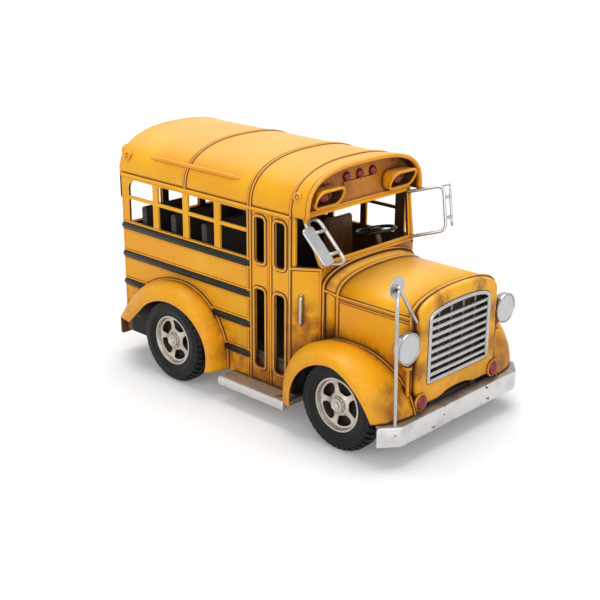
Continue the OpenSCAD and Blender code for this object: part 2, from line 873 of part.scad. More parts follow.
// Row across a fender at one share, from the body to the lip
function fender_row(seam, lip, lip_y, swell, ends, share, skin) =
    let (start = body_half(bow_point(bow(seam, lip, 0, swell, skin), ends[0], ends[1], share)[0]))
    [for (i = [0:section_steps]) let (s = 90 * i / section_steps,
        p = bow_point(bow(seam, lip, s, swell, skin), ends[0], ends[1], share))
        [p[0], -between(start, lip_y - skin, sin(s)), p[1]]];

module fender(seam, lip, lip_y, swell, ends) {
    color(yellow) loft([for (i = [0:fender_steps]) let (share = i / fender_steps) concat(
        fender_row(seam, lip, lip_y, swell, ends, share, 0),
        reversed(fender_row(seam, lip, lip_y, swell, ends, share, sheet_t)))]);
}

module front_fender() {
    fender(front_seam, front_lip, wheel_out + front_fender_out, front_swell, [front_tail_z, sill_z]);
}

module rear_fender() {
    fender(rear_seam, rear_lip, wheel_out + rear_fender_out, rear_swell, [sill_z, rear_tail_z]);
}

module right_front_fender() { front_fender(); }
module left_front_fender() { left() front_fender(); }
module right_rear_fender() { rear_fender(); }
module left_rear_fender() { left() rear_fender(); }

// Step along the side, with a round outer edge
module running_board() {
    r = board_t / 2;
    color(silver) along_x(board_rear_x, board_front_x) {
        plate([r - board_w, sill_z - board_t], [-half_w + board_in, sill_z]);
        translate([r - board_w, sill_z - r]) circle(r);
    }
}

module right_running_board() { running_board(); }
module left_running_board() { left() running_board(); }

// Bumper plan from the outer face inwards, with its ends bent back
module bumper_plan(depth, end_depth) {
    inward = end_depth * unit([-bumper_end, -bumper_back]);
    tip = [nose_x - bumper_back, bumper_half + bumper_end];
    half = [[nose_x, bumper_half], tip, tip + inward, [nose_x - depth, bumper_half - depth / 2]];
    polygon(concat(half, reversed([for (p = half) [p[0], -p[1]]])));
}

module front_bumper() {
    color(silver) difference() {
        union() {
            along_z(bumper_z - bumper_h, bumper_z) bumper_plan(bumper_t, bumper_t);
            along_z(bumper_z - bumper_t, bumper_z) bumper_plan(bumper_flange, bumper_end_flange);
        }
        both_sides() box([nose_x - 2 * bumper_flange, -frame_w / 2, frame_z],
            [nose_x - bumper_t, frame_t - frame_w / 2, frame_top_z]);
    }
}

module rear_bumper() {
    color(silver) box([rear_bumper_x, -rear_bumper_half, bumper_z - bumper_h],
        [rear_bumper_x + bumper_t, rear_bumper_half, bumper_z]);
}

module at_headlights() {
    both_sides() translate([headlight_x, -headlight_y, headlight_z]) children();
}

// Bowl of a headlight with its stem to the side of the radiator shell
module headlight_bucket() {
    r = headlight_r + headlight_rim;
    reach = headlight_y - hood_half;
    elbow = [stem_x - headlight_x, 0, -stem_drop];
    rotate([0, 90, 0]) difference() {
        union() {
            translate([0, 0, -lens_t]) cylinder(h = 2 * lens_t, r = r);
            translate([0, 0, -lens_t]) rotate([180, 0, 0]) dome_cap(r, headlight_l - lens_t);
        }
        cylinder(h = lens_t + over, r = headlight_r);
    }
    wire([elbow + [0, reach, 0], elbow, elbow + [0, 0, stem_drop - headlight_r / 2]], stem_d);
}

module headlight_buckets() { color(silver) at_headlights() headlight_bucket(); }

module headlight_lenses() {
    color("#e4e3de") at_headlights() lamp_lens(headlight_r, lens_t, lens_t / 2);
}

// Round lamps above the bumper
module signal_lamps() {
    x0 = shell_x + shell_depth;
    color(red) both_sides() translate([x0, -signal_y, signal_z]) {
        rotate([0, 90, 0]) cylinder(h = nose_x - 2 * signal_dome - x0, r = signal_r);
        lamp_lens(signal_r - signal_rim, nose_x - 2 * signal_dome - x0, signal_dome);
    }
}

// Point on a windshield pillar, from its foot to its head
function pillar(share) = [between(foot_x, header_x + sheet_t, share),
    windshield_bar / 2 - between(foot_w, head_w, share), between(foot_z, header_z, share)];
function pillar_out(reach) = [reach * cos(rake), 0, reach * sin(rake)];

// Ends of the outer bar of a mirror loop, its top drawn in and the whole bar splayed out
function loop_bar(top_share, splay) = [
    pillar(loop_shares[0]) + pillar_out(mirror_reach * top_share) - [0, splay, 0],
    pillar(loop_shares[1]) + pillar_out(mirror_reach) - [0, splay, 0]];

// Wire loop in front of a pillar, with two stubs for the mirror
module mirror_arm(top_share, splay, stub) {
    seat = pillar_out(wire_r * splay / norm([mirror_reach, splay]));
    high = pillar(loop_shares[0]) + seat;
    low = pillar(loop_shares[1]) + seat;
    bar = loop_bar(top_share, splay);
    along = unit(bar[0] - bar[1]);
    color(silver) {
        wire([high, bar[0] - loop_r * unit(bar[0] - high), bar[0] - loop_r * along, bar[1] + loop_r * along,
            bar[1] - loop_r * unit(bar[1] - low), low], wire_d);
        for (p = [bar[0] - 2 * loop_r * along, bar[1] + 2 * loop_r * along])
            rod(p, p - [0, stub, 0], wire_d);
    }
}

// Mirror on the ends of the stubs, in line with the bar
module mirror_plate(top_share, splay, stub, turn) {
    bar = loop_bar(top_share, splay);
    fall = bar[1] - bar[0];
    slope = atan2(fall[0], -fall[2]);
    lean = atan2(fall[1], norm([fall[0], fall[2]]));
    edge = [0, -stub - abs(sin(turn)) * mirror_t / 2, 0];
    color(silver) translate((bar[0] + bar[1]) / 2 + edge) rotate([0, -slope, 0]) rotate([lean, 0, 0])
        rotate([0, 0, turn]) along_x(-mirror_t / 2, mirror_t / 2)
            translate([-mirror_w, -mirror_l / 2]) round_rect([mirror_w, mirror_l], mirror_r);
}

module right_mirror_arm() { mirror_arm(right_top_share, right_splay, right_stub); }
module right_mirror() { mirror_plate(right_top_share, right_splay, right_stub, right_turn); }
module left_mirror_arm() { left() mirror_arm(left_top_share, left_splay, left_stub); }
module left_mirror() { left() mirror_plate(left_top_share, left_splay, left_stub, left_turn); }

// Round mirror on a wire that stands on the bumper and leans on the radiator shell
function hood_mirror_top() = [nose_x - hood_mirror_back, -hood_mirror_y, hood_mirror_z];

module hood_mirror_arm() {
    top = hood_mirror_top();
    foot = [nose_x - post_back, -post_y, bumper_z];
    shoulder = [nose_x - post_back - post_lean, -post_y, hood_mirror_z - post_drop];
    brace = [shell_x + shell_depth / 2, -shell_half - wire_r, hood_edge_z - wire_d];
    color(silver) wire([foot, shoulder, top, brace], wire_d);
}

module hood_mirror() {
    color(silver) translate(hood_mirror_top() - [wire_r * elbow_share, 0, 0]) rotate([0, 0, 180])
        lamp_lens(disc_d / 2, mirror_t, mirror_t);
}

// Bent handle on the corner panel beside the door
module grab_handle() {
    x = between(door_front_x, foot_x, handle_share);
    out = handle_off * unit([half_w - foot_w, -corner_l, 0]);
    low = [x, -corner_y(x), handle_z - handle_l / 2];
    high = low + [0, 0, handle_l];
    color(silver) wire([low, low + out, high + out, high], wire_d);
}

// Seat seen from the side: plinth, cushion and a leaning back with a round top
module seat_section(back_h) {
    plate([seat_t, 0], [seat_l, seat_h - seat_t]);
    plate([0, seat_h - 2 * seat_t], [seat_l, seat_h]);
    polygon([[0, seat_h - seat_t], [seat_t, seat_h - seat_t],
        [seat_t - seat_tilt, back_h], [-seat_tilt, back_h]]);
    translate([seat_t / 2 - seat_tilt, back_h]) circle(seat_t / 2);
}

module bench_seats() {
    color(brown) both_sides() for (i = [0:seat_n - 1])
        translate([window_x(i) + window_w / 2, 0, floor_z])
            along_y(seat_gap - inner_w, seat_w - inner_w + seat_gap) seat_section(seat_h + seat_back_h);
}

module driver_seat() {
    color(brown) translate([door_rear_x, driver_y, floor_z]) along_y(-driver_w / 2, driver_w / 2)
        seat_section(seat_h + driver_back_h);
}

// Dashboard with a sloping top, on the bulkhead
module dashboard() {
    x1 = foot_x - sheet_t;
    color(brown) along_y(-dash_half, dash_half) polygon([[x1 - dash_l, dash_z], [x1, dash_z],
        [x1, dash_z + dash_h], [x1 - dash_l, dash_z + dash_h / 2]]);
}

module steering_pose() {
    translate([foot_x - steering_back, steering_y, steering_z]) rotate([0, -column_tilt, 0]) children();
}

module steering_column() {
    color("#9a5a1c") difference() {
        steering_pose() translate([0, 0, -steering_d])
            cylinder(h = steering_d - steering_t / 2, d = column_d);
        box([foot_x - sheet_t - dash_l, -half_w, 0], [nose_x, half_w, dash_z + dash_h]);
    }
}

module steering_wheel() {
    ring_r = steering_d / 2 - steering_t / 2;
    color(black) steering_pose() {
        rotate_extrude() translate([ring_r, 0]) circle(d = steering_t);
        cylinder(h = steering_t, r = steering_hub_r, center = true);
        for (a = [0, 120, 240]) rotate([0, 0, a]) rod([0, 0, 0], [ring_r, 0, 0], steering_t / 2);
    }
}

module axle(x) {
    l = 2 * (wheel_out - disc_inset);
    color(silver) translate([x, 0, axle_z]) rotate([90, 0, 0]) cylinder(h = l, r = axle_r, center = true);
}

module front_axle() { axle(front_axle_x); }
module rear_axle() { axle(rear_axle_x); }

// Window between two spokes of a wheel disc
module spoke_window() {
    side = spoke_w / 2;
    gap = 180 / spoke_n;
    polygon([[spoke_in, spoke_in * tan(gap) - side / cos(gap)],
        [spoke_in, side / cos(gap) - spoke_in * tan(gap)],
        [spoke_out * cos(gap), side / cos(gap) - spoke_out * sin(gap)], [spoke_out, 0],
        [spoke_out * cos(gap), spoke_out * sin(gap) - side / cos(gap)]]);
}

// Pressed wheel: stepped rim, disc with windows, hub and cap
module wheel_right(x) {
    face = wheel_out - rim_inset;
    disc = wheel_out - disc_inset;
    color(silver) translate([x, 0, axle_z]) rotate([90, 0, 0]) difference() {
        union() {
            rotate_extrude() polygon([[rim_r - rim_t, wheel_in + rim_inset], [rim_r, wheel_in + rim_inset],
                [rim_r, face], [rim_r - rim_step, face], [rim_r - rim_step, face - rim_step],
                [rim_r - rim_t, face - rim_step]]);
            translate([0, 0, disc - disc_t]) cylinder(h = disc_t, r = rim_r - rim_t + over);
            translate([0, 0, disc - disc_t - hub_l]) cylinder(h = disc_t + 2 * hub_l, r = hub_r);
            translate([0, 0, disc + hub_l]) cylinder(h = cap_l, r = cap_r);
        }
        translate([0, 0, wheel_in]) cylinder(h = disc - wheel_in, r = axle_r);
        for (i = [0:spoke_n - 1]) rotate([0, 0, 360 * i / spoke_n]) translate([0, 0, disc - disc_t - over])
            linear_extrude(disc_t + 2 * over) spoke_window();
    }
}

module front_right_wheel() { wheel_right(front_axle_x); }
module front_left_wheel() { left() wheel_right(front_axle_x); }
module rear_right_wheel() { wheel_right(rear_axle_x); }
module rear_left_wheel() { left() wheel_right(rear_axle_x); }

// Tyre with round shoulders and notches between its tread blocks
module tyre_right(x) {
    color(black) translate([x, 0, axle_z]) rotate([90, 0, 0]) difference() {
        rotate_extrude() intersection() {
            translate([0, wheel_in]) round_rect([tyre_r, tyre_w], shoulder_r);
            plate([rim_r, wheel_in], [tyre_r, wheel_out]);
        }
        for (i = [0:tread_n - 1], y = [wheel_in - over, wheel_out - tread_l])
            rotate([0, 0, 360 * i / tread_n])
                translate([tyre_r - shoulder_r / 2 - tread_depth, -tread_gap / 2, y])
                    cube([shoulder_r, tread_gap, tread_l + over]);
    }
}

module front_tyres() { both_sides() tyre_right(front_axle_x); }
module rear_tyres() { both_sides() tyre_right(rear_axle_x); }

chassis_frame();
floor_pan();
right_side_panel();
left_side_panel();
rear_panel();
right_corner_panel();
left_corner_panel();
door_rear_leaf();
door_front_leaf();
windshield_frame();
front_header();
roof_shell();
roof_ribs();
drip_rails();
right_rub_rails();
left_rub_rails();
right_sash_bars();
left_sash_bars();
lamp_hoods();
warning_lamps();
marker_lamps();
button_lamps();
cowl();
hood_top();
hood_right_side();
hood_left_side();
radiator_shell();
grille();
grille_backing();
right_front_fender();
left_front_fender();
right_rear_fender();
left_rear_fender();
right_running_board();
left_running_board();
front_bumper();
rear_bumper();
headlight_buckets();
headlight_lenses();
signal_lamps();
right_mirror_arm();
right_mirror();
left_mirror_arm();
left_mirror();
hood_mirror_arm();
hood_mirror();
grab_handle();
driver_seat();
bench_seats();
dashboard();
steering_column();
steering_wheel();
front_axle();
rear_axle();
front_right_wheel();
front_left_wheel();
rear_right_wheel();
rear_left_wheel();
front_tyres();
rear_tyres();
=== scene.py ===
from math import asin, atan2, copysign, cos, hypot, pi, radians, sin, sqrt

import bmesh
import bpy
from mathutils import Matrix, Vector


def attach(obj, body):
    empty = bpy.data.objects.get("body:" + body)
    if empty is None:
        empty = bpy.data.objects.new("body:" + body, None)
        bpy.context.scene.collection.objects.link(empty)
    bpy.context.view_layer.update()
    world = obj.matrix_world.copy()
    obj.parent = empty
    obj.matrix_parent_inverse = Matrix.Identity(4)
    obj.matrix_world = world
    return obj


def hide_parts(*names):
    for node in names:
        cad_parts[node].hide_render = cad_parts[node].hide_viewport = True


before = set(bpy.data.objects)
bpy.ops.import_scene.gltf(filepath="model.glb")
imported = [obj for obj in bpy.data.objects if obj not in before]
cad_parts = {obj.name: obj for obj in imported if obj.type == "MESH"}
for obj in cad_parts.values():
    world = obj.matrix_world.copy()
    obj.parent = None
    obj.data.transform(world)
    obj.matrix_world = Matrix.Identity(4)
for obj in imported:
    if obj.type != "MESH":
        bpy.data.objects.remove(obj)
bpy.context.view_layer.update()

# Sizes of the solids that the pieces follow, in millimetres
MM = 0.001
HALF_W, SHEET = 35.5, 1.0
SILL_Z, DRIP_Z, FRAME_Z = 11.4, 85.8, 21.6
REAR_X, DOOR_X, DOOR_END_X, FOOT_X = -79.0, 2.7, 25.3, 35.6
HOOD_X, SHELL_X, NOSE_X = 42.6, 79.7, 85.5
ROOF_REAR_X, ROOF_FRONT_X, ROOF_H, ROOF_POWER = -80.2, 33.2, 18.6, 2.5
BROW_X, BROW_POWER = 25.6, 3.0
HEADER_X, HEADER_Z = 29.4, 87.0
FOOT_Z, FOOT_W, HEAD_W = 65.2, 28.4, 32.8
HOOD_HALF, HOOD_EDGE_Z, HOOD_CROWN_Z, HOOD_POWER = 26.5, 55.4, 63.4, 2.3
SHELL_HALF, SHELL_FRONT_X, SHELL_RISE = 25.2, 82.5, 8.0
APRON_Z, APRON_NOTCH, NOTCH_HALF = 19.4, 1.8, 10
GRILLE_HALF, GRILLE_Z, GRILLE_SIDE_H, GRILLE_RISE = 19.4, 27.7, 25.8, 4.4
GRILLE_BARS, GRILLE_POSTS = 8, 4
AXLE_Z, FRONT_AXLE_X, REAR_AXLE_X = 19.0, 58.0, -38.0
AXLES = {"front": FRONT_AXLE_X, "rear": REAR_AXLE_X}
WHEEL_IN, WHEEL_OUT, RIM_R, TYRE_R = 35.8, 44.6, 11.1, 19.0
BUMPER_LOW, BUMPER_TOP, BUMPER_HALF = 8.5, 17.0, 37.9
WING_X, WING_Y, REAR_BUMPER_X, REAR_BUMPER_HALF = 79.5, 45.1, -83, 37
BODY = "bus_body"


# Shapes are pairs of a list of points and a list of faces
def join(*shapes):
    verts, faces = [], []
    for points, polygons in shapes:
        n = len(verts)
        verts += points
        faces += [tuple(i + n for i in face) for face in polygons]
    return verts, faces


def placed(shape, matrix):
    return [matrix @ Vector(p) for p in shape[0]], shape[1]


def grouped(shape, places):
    return join(*[placed(shape, at) for at in places])


def as_is(shape):
    return shape


def moved(x, y, z):
    return Matrix.Translation((x, y, z))


def turned(degrees, axis):
    return Matrix.Rotation(radians(degrees), 4, axis)


def turns(n):
    return [2 * pi * i / n for i in range(n)]


def polar(r, angle, h=0.0):
    return Vector((r * cos(angle), r * sin(angle), h))


def mirrored(shape):
    return [Vector((p[0], -p[1], p[2])) for p in shape[0]], [tuple(reversed(f)) for f in shape[1]]


def both(shape):
    return join(shape, mirrored(shape))


SIDES = (("right", as_is), ("left", mirrored))


def loft(rings, closed=True, caps=True, around=False):
    """Skin over rings of points; around joins the last ring to the first."""
    n, last = len(rings[0]), len(rings) - (0 if around else 1)
    faces = []
    for i in range(last):
        a, b = i * n, (i + 1) % len(rings) * n
        for j in range(n if closed else n - 1):
            k = (j + 1) % n
            faces.append((a + j, a + k, b + k, b + j))
    if caps and not around:
        faces += [tuple(reversed(range(n))), tuple(range((len(rings) - 1) * n, len(rings) * n))]
    return [Vector(p) for ring in rings for p in ring], faces


def lathe(profile, n=64):
    """Turns (radius, height) points about +Z."""
    rings = [[polar(r, a, h) for a in turns(n)] for r, h in profile]
    return loft(rings)


def fillet(points, radius, steps=5, loop=False):
    """Path with its corners rounded."""
    pts = [Vector(p) for p in points]
    corners = range(len(pts)) if loop else range(1, len(pts) - 1)
    out = [] if loop else [pts[0]]
    for i in corners:
        b, u, v = pts[i], pts[i - 1] - pts[i], pts[(i + 1) % len(pts)] - pts[i]
        cut = min(radius, u.length * 0.48, v.length * 0.48)
        p, q = b + u.normalized() * cut, b + v.normalized() * cut
        for k in range(steps + 1):
            s = k / steps
            out.append(p * (1 - s) ** 2 + b * 2 * s * (1 - s) + q * s * s)
    return out if loop else out + [pts[-1]]


def tube(path, r, sides=10, loop=False, flat=1.0, out=None):
    """Round wire along a path; flat squeezes it along the direction out."""
    pts = [Vector(p) for p in path]
    n, normal, rings = len(pts), Vector(out) if out else None, []
    for i, p in enumerate(pts):
        ahead = pts[(i + 1) % n] if loop or i < n - 1 else p
        behind = pts[i - 1] if loop or i > 0 else p
        t = (ahead - behind).normalized()
        start = normal if normal is not None else t.orthogonal()
        normal = (start - t * start.dot(t)).normalized()
        rings.append((p, t, normal, t.cross(normal)))
    width = [r(i / max(n - 1, 1)) if callable(r) else r for i in range(n)]

    def ring(k, shift, scale):
        p, t, a, b = rings[k]
        w = width[k] * scale
        return [p + t * shift * width[k] + w * (cos(s) * a * flat + sin(s) * b) for s in turns(sides)]

    body = [ring(k, 0, 1) for k in range(n)]
    if loop:
        return loft(body, around=True)
    head = [ring(0, -0.6, 0.5), ring(0, -0.4, 0.8)]
    tail = [ring(n - 1, 0.4, 0.8), ring(n - 1, 0.6, 0.5)]
    return loft(head + body + tail)


def slab(outline, t, b):
    """Plate on an anticlockwise outline in y and z, t thick along x, with its edges rounded by b."""
    n = len(outline)
    pts = [Vector((0, *p)) for p in outline]
    inward = [Vector((1, 0, 0)).cross((pts[(i + 1) % n] - pts[i - 1]).normalized()) for i in range(n)]
    steps = [(0, b), (b * 0.3, b * 0.3), (b, 0), (t - b, 0), (t - b * 0.3, b * 0.3), (t, b)]
    return loft([[p + d * inset + Vector((x, 0, 0)) for p, d in zip(pts, inward)] for x, inset in steps])


def round_rect(y0, z0, y1, z1, r, steps=6):
    corners = [(y1 - r, z0 + r, -90), (y1 - r, z1 - r, 0), (y0 + r, z1 - r, 90), (y0 + r, z0 + r, 180)]
    out = []
    for cy, cz, start in corners:
        for k in range(steps + 1):
            a = radians(start + 90 * k / steps)
            out.append((cy + r * cos(a), cz + r * sin(a)))
    return out


def arch(w, h, power, n=56):
    """Half a superellipse from +w to -w, h high."""
    out = []
    for i in range(n + 1):
        c, s = cos(pi * i / n), sin(pi * i / n)
        out.append((copysign(abs(c) ** (2 / power), c) * w, abs(s) ** (2 / power) * h))
    return out


def raised(points, x, z):
    return [Vector((x, y, h + z)) for y, h in points]


def upright(x, y, low, high):
    return [(x, y, low), (x, y, high)]


def facing_x(x, y, z):
    return moved(x, y, z) @ turned(90, "Y")


def add_object(name, data):
    obj = bpy.data.objects.new(name, data)
    bpy.context.scene.collection.objects.link(obj)
    return obj


def piece(name, shape, coat, body=BODY, node=None, sharp=38, thick=0, inner=None, away=None):
    """Mesh piece in the shared frame that replaces a node, if one is named. Thick makes a sheet of it,
    grown against the normals, and away is a point that its outside looks away from."""
    mesh = bpy.data.meshes.new(name)
    mesh.from_pydata([tuple(c * MM for c in p) for p in shape[0]], [], shape[1])
    bm = bmesh.new()
    bm.from_mesh(mesh)
    bmesh.ops.remove_doubles(bm, verts=bm.verts, dist=1e-7)
    bmesh.ops.recalc_face_normals(bm, faces=bm.faces)
    if away is not None:
        centre = Vector(away) * MM
        outward = sum(f.normal.dot(f.calc_center_median() - centre) * f.calc_area() for f in bm.faces)
        if outward < 0:
            bmesh.ops.reverse_faces(bm, faces=bm.faces)
    bm.to_mesh(mesh)
    bm.free()
    mesh.shade_smooth()
    mesh.set_sharp_from_angle(angle=radians(sharp))
    mesh.materials.append(MAT[coat])
    obj = add_object(name, mesh)
    if thick:
        solid = obj.modifiers.new("sheet", "SOLIDIFY")
        solid.thickness, solid.offset, solid.use_even_offset = thick * MM, -1, True
        if inner:
            mesh.materials.append(MAT[inner])
            solid.material_offset = 1
    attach(obj, body)
    if node:
        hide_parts(node)
    return obj


def put(tree, socket, value):
    """Links a socket to another, or sets its value."""
    if isinstance(value, bpy.types.NodeSocket):
        tree.links.new(value, socket)
    elif isinstance(value, tuple) and len(value) == 3 and socket.type == "RGBA":
        socket.default_value = (*value, 1)
    else:
        socket.default_value = value


def new_node(tree, kind, *first, **named):
    """Shader node with its first inputs given in order, and others by name."""
    node = tree.nodes.new("ShaderNode" + kind)
    for socket, value in zip(node.inputs, first):
        put(tree, socket, value)
    for key, value in named.items():
        put(tree, node.inputs[key], value)
    return node


class Graph:
    """Short names for the nodes of one material."""

    def __init__(self, name):
        self.material = bpy.data.materials.new(name)
        self.material.use_nodes = True
        self.tree = self.material.node_tree
        self.shader = self.tree.nodes["Principled BSDF"]
        self.at = self.new("TexCoord")

    def new(self, kind, *first, **named):
        return new_node(self.tree, kind, *first, **named)

    def noise(self, size, detail=3.0, rough=0.55, stretch=None):
        """Noise with features about size millimetres wide."""
        place = self.at.outputs["Object"]
        if stretch:
            place = self.new("Mapping", Vector=place, Scale=stretch).outputs[0]
        node = self.new("TexNoise", Vector=place, Scale=1 / (size * MM), Detail=detail, Roughness=rough)
        return node.outputs[0]

    def math(self, operation, a, b=0.0):
        node = self.new("Math", a, b)
        node.operation = operation
        return node.outputs[0]

    def times(self, a, b):
        return self.math("MULTIPLY", a, b)

    def span(self, value, low, high, start=0.0, end=1.0):
        node = self.new("MapRange", value, low, high, start, end)
        node.interpolation_type = "SMOOTHSTEP"
        return node.outputs[0]

    def mix(self, share, a, b):
        node = self.new("Mix")
        node.data_type = "RGBA"
        for i, value in ((0, share), (6, a), (7, b)):
            put(self.tree, node.inputs[i], value)
        return node.outputs[2]

    def nook(self, reach, samples=8):
        """How far a spot lies in a nook, from 0 to 1, looking reach millimetres around."""
        node = self.new("AmbientOcclusion", Distance=reach * MM)
        node.samples = samples
        return self.math("SUBTRACT", 1.0, node.outputs["AO"])

    def edge(self, width):
        """Sharp edges, from 0 to 1."""
        round_off = self.new("Bevel", Radius=width * MM)
        round_off.samples = 4
        dot = self.new("VectorMath", round_off.outputs[0], self.new("NewGeometry").outputs["Normal"])
        dot.operation = "DOT_PRODUCT"
        return self.span(dot.outputs["Value"], 0.99, 0.85)

    def split(self, output):
        return self.new("SeparateXYZ", self.at.outputs[output]).outputs

    def bump(self, height, depth, strength=1.0, onto=None):
        node = self.new("Bump", Strength=strength, Distance=depth * MM, Height=height)
        if onto:
            put(self.tree, node.inputs["Normal"], onto)
        return node.outputs[0]

    def finish(self, colour, rough, normal=None, metal=0.0, specular=0.5):
        values = {"Base Color": colour, "Roughness": rough, "Metallic": metal, "Specular IOR Level": specular}
        if normal:
            values["Normal"] = normal
        for key, value in values.items():
            put(self.tree, self.shader.inputs[key], value)
        return self.material


# The pale yellow that the tops turn towards is a painted highlight.
STAIN, TOP_HIGHLIGHT, RUBBED = (0.27, 0.082, 0.010), (0.95, 0.60, 0.17), (0.93, 0.50, 0.06)
YELLOW, GOLD, AMBER = (0.93, 0.465, 0.008), (0.87, 0.375, 0.006), (0.50, 0.140, 0.006)
UMBER, SOOT, CABIN = (0.060, 0.017, 0.004), (0.014, 0.008, 0.005), (0.060, 0.025, 0.009)


def inside_share(g):
    """1 on the faces of the body panels that look into the cabin."""
    x, y, _ = g.split("Object")
    nx, ny, _ = g.split("Normal")
    ahead = g.times(g.times(g.math("ADD", x, 20 * MM), 0.3), nx)
    side = g.math("ADD", ahead, g.times(y, ny))
    return g.span(side, -13 * MM, -14 * MM)


# Middle and reach of each stain on the right side
SMUDGES = (((31, 33, 42), 13), ((28, 35, 28), 12), ((40, 31, 40), 9), ((76, 26, 37), 9), ((81, 34, 24), 14),
           ((82, 25, 33), 8), ((82, 25, 48), 9), ((82, 12, 60), 7), ((14, 37, 15), 13), ((-6, 37, 20), 10),
           ((38, 24, 62), 8))


def smudges(g, grain):
    """Soft brown stains rubbed into the enamel on both sides alike."""
    x, y, z = g.split("Object")
    place = g.new("CombineXYZ", x, g.math("ABSOLUTE", y), z).outputs[0]
    total = 0.0
    for centre, reach in SMUDGES:
        away = g.new("VectorMath", place, [c * MM for c in centre])
        away.operation = "DISTANCE"
        total = g.math("MAXIMUM", total, g.span(away.outputs["Value"], reach * MM, 0.25 * reach * MM))
    return g.times(total, g.span(grain, 0.32, 0.60))


def paint(name, bright=YELLOW, deep=GOLD, grime_and_shade=1.0, cabin=False):
    """Yellow enamel, browned in the seams and towards the ground by patina and painted shade, lightened on
    its tops by a painted highlight, rubbed on its edges.
    """
    g = Graph(name)
    cloud, grain = g.noise(22, 3), g.noise(2.4, 4, 0.6)
    colour = g.mix(g.span(cloud, 0.35, 0.7), deep, bright)
    colour = g.mix(g.times(g.span(g.edge(0.35), 0.1, 0.9), 0.5), colour, RUBBED)
    height = g.split("Object")[2]
    # Painted highlight: faces that look up, high on the bus, turned paler.
    top_highlight = g.times(g.span(g.split("Normal")[2], 0.6, 1.0), g.span(height, 48 * MM, 68 * MM))
    colour = g.mix(g.times(top_highlight, 0.42), colour, TOP_HIGHLIGHT)
    # Browner in wide recesses and towards the ground: patina and painted shade.
    low = g.span(height, 62 * MM, 8 * MM)
    wide = g.times(g.span(g.nook(9), 0.14, 0.70), 0.95 * grime_and_shade)
    stain_and_shade = g.math("ADD", wide, g.times(low, 0.48 * grime_and_shade))
    mottle = g.math("ADD", cloud, g.times(grain, 0.4))
    stain_and_shade = g.times(stain_and_shade, g.span(mottle, 0.48, 0.86))
    colour = g.mix(stain_and_shade, colour, AMBER)
    colour = g.mix(g.times(stain_and_shade, stain_and_shade), colour, UMBER)
    colour = g.mix(g.times(smudges(g, g.noise(8, 3, 0.6)), 0.85 * grime_and_shade), colour, STAIN)
    # Thin dark lines in the creases beside the beads: patina and painted shade.
    line = g.times(g.span(g.nook(2.2), 0.14, 0.50), 0.92 if grime_and_shade > 0.8 else 0.45)
    colour = g.mix(line, colour, UMBER)
    speck = g.times(g.span(g.noise(0.9, 2), 0.70, 0.76), 0.45)
    colour = g.mix(speck, colour, UMBER)
    if cabin:
        x, _, z = g.split("Object")
        side = g.math("ABSOLUTE", g.split("Normal")[1])
        # Painted shade: the sides low behind the rear wheels, inside the arch, darkened.
        rear_arch_shade = g.times(g.span(z, 28 * MM, 23 * MM), g.span(x, -44 * MM, -50 * MM))
        rear_arch_shade = g.times(rear_arch_shade, side)
        colour = g.mix(g.times(rear_arch_shade, 0.9), colour, UMBER)
        colour = g.mix(inside_share(g), colour, CABIN)
    rough = g.math("ADD", g.span(grain, 0.2, 0.8, 0.34, 0.46), g.times(stain_and_shade, 0.25))
    normal = g.bump(g.noise(7, 2), 0.10, 0.5)
    normal = g.bump(g.noise(0.5, 2), 0.012, 0.5, normal)
    return g.finish(colour, rough, normal, 0.0, 0.32)


def metal(name, clean, dark, chips=0.0, rough=0.3, metallic=0.7, nook=0.8, beaten=0.05, reach=1.6, top=0.0):
    """Silver paint or plate with dark nooks of tarnish and painted shade, blotches and chips."""
    g = Graph(name)
    cloud, grain = g.noise(9, 4, 0.6), g.noise(1.2, 3)
    colour = g.mix(g.times(g.span(cloud, 0.45, 0.8), 0.35), clean, dark)
    # Darker in the nooks: tarnish and painted shade.
    colour = g.mix(g.times(g.span(g.nook(reach, 12), 0.25, 0.8), nook), colour, dark)
    if top:
        up = g.span(g.split("Normal")[2], 0.75, 0.95)
        colour = g.mix(g.times(g.times(up, top), g.span(cloud, 0.2, 0.6, 0.6, 1.0)), colour, dark)
    if chips:
        worn = g.math("ADD", g.noise(3.2, 4, 0.7, (1, 0.45, 1.2)), g.times(g.edge(0.6), 0.07))
        colour = g.mix(g.span(worn, 0.74 - chips, 0.755 - chips), colour, SOOT)
    normal = g.bump(g.noise(3.5, 2), beaten, 0.5)
    normal = g.bump(grain, 0.01, 0.5, normal)
    return g.finish(colour, g.span(grain, 0.2, 0.8, rough - 0.06, rough + 0.12), normal, metallic)


def dull(name, colour, worn, rough=0.5, size=4.0, depth=0.04, gloss=0.5):
    """Plain dark coat with soft wear."""
    g = Graph(name)
    cloud, grain = g.noise(size, 4, 0.6), g.noise(0.6, 2)
    mixed = g.mix(g.span(cloud, 0.45, 0.85), colour, worn)
    mixed = g.mix(g.times(g.edge(0.4), 0.35), mixed, worn)
    normal = g.bump(grain, 0.012, 0.6, g.bump(cloud, depth, 0.5))
    return g.finish(mixed, g.span(grain, 0.2, 0.8, rough - 0.08, rough + 0.1), normal, 0.0, gloss)


def lens(name, colour, edge, rough):
    """Painted lens, darkened round its rim by painted shade."""
    g = Graph(name)
    cloud = g.noise(1.6, 3)
    mixed = g.mix(g.span(cloud, 0.4, 0.8), colour, tuple(c * 0.86 for c in colour))
    mixed = g.mix(g.span(g.nook(1.2), 0.2, 0.7), mixed, edge)
    return g.finish(mixed, g.span(cloud, 0.3, 0.8, rough, rough + 0.15), g.bump(g.noise(0.8, 2), 0.03, 0.5))


